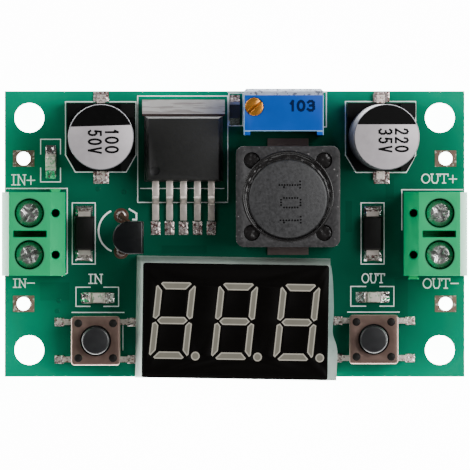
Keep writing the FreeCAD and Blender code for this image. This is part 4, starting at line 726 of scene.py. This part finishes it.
# radius and rise of the resin's lip on the shield
lip = ((5.33, 0.40), (5.47, 0.44), (5.62, 0.37))
lobe_offset, lobe_radius = 4.4, 0.97
rings = []
for step in range(around):
    turn = math.tau * step / around
    column = []
    for index in range(across + 1):
        share = index / across
        inner = Vector((inductor_x, drum_y)) + Vector((math.cos(turn), math.sin(turn))) * drum_edge
        outer = Vector((inductor_x, inductor_y)) + Vector((math.cos(turn), math.sin(turn))) * bore_edge
        spot = inner.lerp(outer, share)
        lift = 0.12 * noise.noise(Vector((spot.x * 1.4, spot.y * 1.4, 3.1))) + 0.12 * (2 * share - 1) ** 2
        column.append(glue_bm.verts.new((spot.x * mm, spot.y * mm, (ring_top + lift) * mm)))
    for radius, rise in lip:
        spot = Vector((inductor_x, inductor_y)) + Vector((math.cos(turn), math.sin(turn))) * radius
        column.append(glue_bm.verts.new((spot.x * mm, spot.y * mm, (ring_top + rise) * mm)))
    for share in (1.0, 0.0):
        foot = column[-1 if share else 0].co.copy()
        foot.z = (ring_top - 0.8) * mm
        column.append(glue_bm.verts.new(foot))
    rings.append(column)
for step in range(around):
    here, after = rings[step], rings[(step + 1) % around]
    for index in range(len(here)):
        following = (index + 1) % len(here)
        glue_bm.faces.new((here[index], after[index], after[following], here[following]))
for lobe_x, lobe_y in ((-1, 1), (1, 1), (-1, -1), (1, -1)):
    centre = Vector((inductor_x + lobe_x * lobe_offset, inductor_y + lobe_y * lobe_offset))
    before = set(glue_bm.verts)
    bmesh.ops.create_uvsphere(glue_bm, u_segments=32, v_segments=16, radius=1)
    for vertex in [vertex for vertex in glue_bm.verts if vertex not in before]:
        spot = centre + Vector((vertex.co.x, vertex.co.y)) * lobe_radius
        ripple = noise.noise(Vector((spot.x * 2.3, spot.y * 2.3, 5.7)))
        height = ring_top - 0.12 + vertex.co.z * 0.1 + 0.08 * ripple
        vertex.co = Vector((spot.x * mm, spot.y * mm, height * mm))
bmesh.ops.recalc_face_normals(glue_bm, faces=glue_bm.faces)
resin_ring = new_object("inductor_resin", glue_bm)
round_shading(resin_ring)
glue.on(resin_ring)
laser_mark = Finish("laser_mark", (0.001, 0.001, 0.001), 0.8, scale=2500, spread=0.4, bump=0.3, shine=0.1)
drum_top = top_mm + 7.85
dot_pitch = 0.34
dot_radius = 0.12
# start and end of each run of dots
mark_runs = (
    ((5.46, 5.96), (7.70, 5.96)), ((7.98, 5.62), (7.98, 6.40)), ((6.02, 5.70), (6.02, 5.70)),
    ((6.02, 4.38), (7.67, 4.38)), ((6.02, 3.22), (7.67, 3.22)), ((5.66, 3.53), (5.66, 4.16)),
    ((8.03, 3.50), (8.03, 4.16)), ((5.60, 1.66), (7.72, 1.66)), ((8.06, 1.36), (8.06, 2.10)),
    ((6.02, 1.40), (6.02, 1.40)),
)
dot_bm = bmesh.new()
for start, end in mark_runs:
    run = Vector(end) - Vector(start)
    count = max(1, round(run.length / dot_pitch) + 1)
    for index in range(count):
        spot = Vector(start) + run * (index / max(1, count - 1))
        bmesh.ops.create_cone(
            dot_bm, cap_ends=True, segments=12, radius1=dot_radius * mm, radius2=dot_radius * mm,
            depth=0.02 * mm, matrix=Matrix.Translation((spot.x * mm, spot.y * mm, (drum_top + 0.004) * mm)),
        )
value_dots = new_object("inductor_value_mark", dot_bm)
laser_mark.on(value_dots)

# Trimmer: moulded blue housing with end ribs, brass adjusting screw and a back sealed with resin.
# Its top carries the value in dark blue ink, and its upper edges carry a painted highlight in pale blue.
blue_plastic = Finish("blue_plastic", (0.0, 0.058, 0.33), 0.38, scale=700, spread=0.2, bump=0.15, shine=0.2)
trimmer_left, trimmer_right, trimmer_front = 1.21, 10.76, 12.54
highlight_half = 0.07
x, y, z = blue_plastic.where()
left_edge = blue_plastic.math("LESS_THAN", x, trimmer_left)
right_edge = blue_plastic.math("GREATER_THAN", x, trimmer_right)
lower_edge = blue_plastic.math("LESS_THAN", blue_plastic.away(y, trimmer_front), highlight_half)
near_top = blue_plastic.math("GREATER_THAN", z, top_mm + 9.8)
# painted highlight: the top's left, right and lower edges are coloured pale blue
painted_edge_highlight = blue_plastic.math("MULTIPLY", near_top, blue_plastic.math(
    "MAXIMUM", lower_edge, blue_plastic.math("MAXIMUM", left_edge, right_edge)))
blue_plastic.colour_from(blue_plastic.blend(painted_edge_highlight, (0.0, 0.058, 0.33), (0.20, 0.36, 0.55)))
brass = Finish("turned_brass", (0.66, 0.27, 0.045), 0.26, metal=0.85, scale=900, spread=0.35, bump=0.3)
potting_resin = Finish("crumbly_resin", (0.36, 0.39, 0.46), 0.7, scale=1300, spread=0.8, bump=1.0)
potting_resin.colour_from(potting_resin.blend(
    potting_resin.spots(2400, 0.58), (0.33, 0.37, 0.45), (0.09, 0.10, 0.14)))
blue_ink = Finish("dark_blue_ink", (0.0, 0.007, 0.040), 0.5, scale=1500, spread=0.2, shine=0.1)
trimmer_housing = softened("trimmer_housing", 0.08, 2)
blue_plastic.on(trimmer_housing)
trimmer_screw = softened("trimmer_screw", 0.05, 2)
brass.on(trimmer_screw)
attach(trimmer_screw, "trimmer_screw")
potting_resin.on("trimmer_potting")
ceramic = Finish("fired_ceramic", (0.80, 0.79, 0.75), 0.5, scale=900, spread=0.15)
ceramic.on("trimmer_element", "trimmer_slider")
tin_plate.on("trimmer_pins")
value_bm = bmesh.new()
write_words(value_bm, "103", 6.80, 9.68, 15.06, 16.16, 0.31, 0.45, top_mm + 9.99, top_mm + 10.005)
trimmer_value = new_object("trimmer_value_mark", value_bm)
blue_ink.on(trimmer_value)

# Screw terminals: green moulding with two wells, a barrier slot and two small test holes.
# Zinc-plated screws draw a steel cage up under the tinned contact bar to clamp a wire.
green_plastic = Finish("green_plastic", (0.0, 0.34, 0.12), 0.45, scale=600, spread=0.1, bump=0.12, shine=0.05)
well_x, well_y, well_radius = 25.0, 2.54, 1.86
rim_half = 0.035
wire_side_x = 27.52
x, y, z = green_plastic.where()
from_well = green_plastic.radius(
    green_plastic.away(green_plastic.math("ABSOLUTE", x), well_x),
    green_plastic.away(green_plastic.math("ABSOLUTE", y), well_y))
# painted highlight: a thin ring round the top of each well is coloured a greyer green, standing in for the
# light its rim catches
well_rim_highlight = green_plastic.math(
    "MULTIPLY",
    green_plastic.math("LESS_THAN", green_plastic.away(from_well, well_radius), rim_half),
    green_plastic.math("GREATER_THAN", z, top_mm + 9.8))
# painted reflection: the outer wire side is coloured the same greyer green, standing in for the light it
# reflects from the side
wire_side_reflection = green_plastic.math("GREATER_THAN", green_plastic.math("ABSOLUTE", x), wire_side_x)
painted_rim_and_side_light = green_plastic.math("MAXIMUM", well_rim_highlight, wire_side_reflection)
green_plastic.colour_from(green_plastic.blend(painted_rim_and_side_light, (0.0, 0.34, 0.12), (0.07, 0.175, 0.11)))
zinc = Finish(
    "zinc_plated_steel", (0.56, 0.55, 0.54), 0.26, metal=0.9, scale=1700, spread=0.7, rough_spread=0.3,
    bump=0.8)
for name in ("input", "output"):
    housing = softened(name + "_terminal_housing", 0.08, 2, angle=30, smooth=False)
    green_plastic.on(housing)
    tin_plate.on(name + "_terminal_contacts")
    for letter in ("a", "b"):
        screw = softened(name + "_terminal_screw_" + letter, 0.1, 2, angle=35)
        zinc.on(screw)
        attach(screw, name + "_screw_" + letter)
        zinc.on(name + "_terminal_cage_" + letter)

# Diodes: small black mouldings with tin-plated leads tucked under each end.
# The leads are soldered to wide pads by smooth mounds.
diode_epoxy = Finish(
    "diode_epoxy", (0.0035, 0.0032, 0.003), 0.5, scale=2200, spread=0.5, bump=0.3, shine=0.15)
for name in ("input", "output"):
    diode = softened(name + "_diode_body", 0.08, 2)
    diode_epoxy.on(diode)
tin_plate.on("diode_leads")

# Small regulator: glossy black half-round moulding on three splayed legs.
# Two of the legs end in browned pads with a bright ring of solder that shows beside the body.
gloss_epoxy = Finish("gloss_epoxy", (0.002, 0.0024, 0.0028), 0.3, scale=1600, spread=0.3, bump=0.2, shine=0.3)
small_body = softened("small_regulator_body", 0.18, 3, angle=40)
gloss_epoxy.on(small_body)
browned_tin = Finish("browned_tin", (0.10, 0.052, 0.036), 0.36, metal=0.4, scale=1900, spread=0.8, bump=0.7)
browned_tin.on("small_regulator_leads")
small_pads = ((-13.81, 2.24), (-13.81, -2.14))
dish_height = 0.16
dish_bm = bmesh.new()
for pad_x, pad_y in small_pads:
    bmesh.ops.create_cone(
        dish_bm, cap_ends=True, segments=48, radius1=0.92 * mm, radius2=0.72 * mm, depth=dish_height * mm,
        matrix=Matrix.Translation((pad_x * mm, pad_y * mm, board_top + dish_height / 2 * mm)),
    )
dishes = new_object("small_regulator_solder", dish_bm)
browned_tin.on(dishes)
for number, (pad_x, pad_y) in enumerate(small_pads):
    pad_ring = lathe("small_regulator_pad_%d" % number, (
        (0.30, 0.1), (0.33, 0.22), (0.42, 0.30), (0.52, 0.28), (0.60, 0.18), (0.62, 0.1), (0.30, 0.1)), 48)
    pad_ring.data.transform(Matrix.Translation((pad_x * mm, pad_y * mm, board_top)))
    solder_metal.on(pad_ring)

# Lights and chip resistors: a pale cast lens on a small base, and ceramic chips with a black film.
# All are soldered flat on the board, the lights and one resistor above and the rest below.
lamp_resin = Finish("lamp_resin", (0.66, 0.56, 0.50), 0.35, scale=900, spread=0.3, bump=0.25)
lamp_resin.colour_from(lamp_resin.blend(lamp_resin.spots(2300, 0.58), (0.74, 0.64, 0.58), (0.30, 0.40, 0.27)))
chip_black = Finish("chip_film", (0.03, 0.028, 0.028), 0.4, scale=1200, spread=0.3)
for name in ("power_light", "input_light", "output_light"):
    lamp_resin.on(softened(name, 0.05, 2))
film_low = top_mm + 0.35
film_half = 0.66
x, y, z = chip_black.where()
side_of_chip = chip_black.math(
    "MULTIPLY", chip_black.math("LESS_THAN", z, film_low), chip_black.math("GREATER_THAN", z, 0.0))
off_film = chip_black.math("MAXIMUM", side_of_chip, chip_black.math(
    "GREATER_THAN", chip_black.math("SUBTRACT", y, chip_y), film_half))
chip_black.colour_from(chip_black.blend(off_film, (0.008, 0.008, 0.009), (0.45, 0.43, 0.41)))
chip_black.link(off_film, chip_black.shader.inputs["Metallic"])
chip_black.on("chip_resistors")

# Display: pale plastic housing with a black front sheet and light segments set flush in it.
# Hardened filling resin has crept up the right side and left a wavy lip.
grey_plastic = Finish("pale_plastic", (0.42, 0.48, 0.43), 0.32, scale=500, spread=0.4, bump=0.2)
x, y, z = grey_plastic.where()
# painted highlight: the lowest millimetre of the walls is coloured pale, making a bright line along the
# housing's outer edge
foot = grey_plastic.math("LESS_THAN", z, top_mm + 1.0)
walls = grey_plastic.blend(grey_plastic.spots(3000, 0.54), (0.37, 0.43, 0.39), (0.43, 0.49, 0.44))
grey_plastic.colour_from(grey_plastic.blend(foot, walls, (0.66, 0.74, 0.68)))
face_black = Finish("face_black", (0.0012, 0.0009, 0.0007), 0.5, scale=1800, spread=0.3, bump=0.1, shine=0.04)
segment_resin = Finish(
    "segment_resin", (0.125, 0.117, 0.093), 0.5, scale=1300, spread=0.2, bump=0.2, shine=0.3)
segment_rim = Finish("segment_rim", (0.31, 0.29, 0.24), 0.5, scale=1300, spread=0.2, bump=0.2, shine=0.3)
squeeze_resin = Finish("hardened_resin", (0.15, 0.22, 0.20), 0.3, scale=900, spread=0.5, bump=0.4)
# the lip is thicker and paler below y = -12 mm
x, y, z = squeeze_resin.where()
thick_end = squeeze_resin.math("MULTIPLY_ADD", y, -0.3, -3.6)
thick_end = squeeze_resin.math("MINIMUM", squeeze_resin.math("MAXIMUM", thick_end, 0.0), 1.0)
squeeze_resin.colour_from(squeeze_resin.blend(thick_end, (0.15, 0.22, 0.20), (0.34, 0.40, 0.37)))
grey_plastic.on("display_housing")
face_black.on(softened("display_face", 0.06, 1, angle=50, smooth=False))
segment_bm = bmesh.new()
segment_bm.from_mesh(nodes["display_segments"].data)
bmesh.ops.remove_doubles(segment_bm, verts=segment_bm.verts, dist=1e-7)
bmesh.ops.dissolve_limit(
    segment_bm, angle_limit=math.radians(1), verts=segment_bm.verts, edges=segment_bm.edges, delimit=set())
segment_bm.normal_update()
tops = [face for face in segment_bm.faces if face.normal.z > 0.9 and face.calc_center_median().z > board_top]
segment_rim_width = 0.14
inset = bmesh.ops.inset_individual(
    segment_bm, faces=tops, thickness=segment_rim_width * mm, use_even_offset=True)
for face in inset["faces"]:
    face.material_index = 1
bmesh.ops.triangulate(segment_bm, faces=segment_bm.faces)
segments = new_object("display_segments_finished", segment_bm)
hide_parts("display_segments")
for finish in (segment_resin, segment_rim):
    segments.data.materials.append(finish.material)
squeeze_resin.on("display_resin")
tin_plate.on("display_pins")

# Push switches: black base, browned steel cover held by four melted plastic pegs, round button.
# A sprung steel dome under the button flattens when it is pressed.
cover_highlight_from = 2.90


def browned_steel(name, middle_x, middle_y):
    """Browned sheet with a painted highlight in pale brown along the cover's rim."""
    finish = Finish(name, (0.15, 0.095, 0.078), 0.36, metal=0.5, scale=1300, spread=0.4, bump=0.3)
    x, y, z = finish.where()
    reach = finish.math("MAXIMUM", finish.away(x, middle_x), finish.away(y, middle_y))
    # painted highlight: pale brown near the cover's rim
    finish.colour_from(finish.blend(
        finish.math("GREATER_THAN", reach, cover_highlight_from), (0.15, 0.095, 0.078), (0.36, 0.25, 0.21)))
    return finish


button_plastic = Finish("button_plastic", (0.010, 0.010, 0.011), 0.34, scale=1200, spread=0.3, bump=0.2)
spring_steel = Finish("spring_steel", (0.62, 0.60, 0.57), 0.25, metal=0.95, scale=900)
peg_plastic = Finish("peg_plastic", (0.006, 0.005, 0.0045), 0.5, scale=1500, spread=0.3, bump=0.3, shine=0.15)
peg_bm = bmesh.new()
cover_top = top_mm + 3.4
peg_offset, peg_radius, peg_rise = 2.12, 0.49, 0.14
for name, switch_x, switch_y in switches:
    for side in (-1, 1):
        for row in (-1, 1):
            bmesh.ops.create_uvsphere(
                peg_bm, u_segments=24, v_segments=12, radius=1,
                matrix=Matrix.Translation((
                    (switch_x + side * peg_offset) * mm, (switch_y + row * peg_offset) * mm, cover_top * mm))
                @ Matrix.Diagonal((peg_radius * mm, peg_radius * mm, peg_rise * mm, 1)),
            )
pegs = new_object("switch_pegs", peg_bm)
round_shading(pegs)
peg_plastic.on(pegs)
for name, switch_x, switch_y in switches:
    seat_plastic.on(name + "_switch_base")
    browned_steel(name + "_browned_steel", switch_x, switch_y).on(
        softened(name + "_switch_cover", 0.06, 2, angle=35))
    button = softened(name + "_switch_button", 0.1, 3, angle=30)
    button_plastic.on(button)
    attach(button, name + "_button")
    dome = softened(name + "_switch_dome", 0.01, 1)
    spring_steel.on(dome)
    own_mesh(dome)
    crinkled_tin.on(name + "_switch_leads")

# Controller chip: a flat black epoxy moulding with twenty tinned leads, soldered under the board.
# It measures the voltages and drives the display.
epoxy = Finish(
    "matt_epoxy", (0.0085, 0.0085, 0.008), 0.5, scale=2200, spread=0.5, rough_spread=0.2, bump=0.35,
    shine=0.3)
epoxy.on("controller_body")
tin_plate.on("controller_leads")
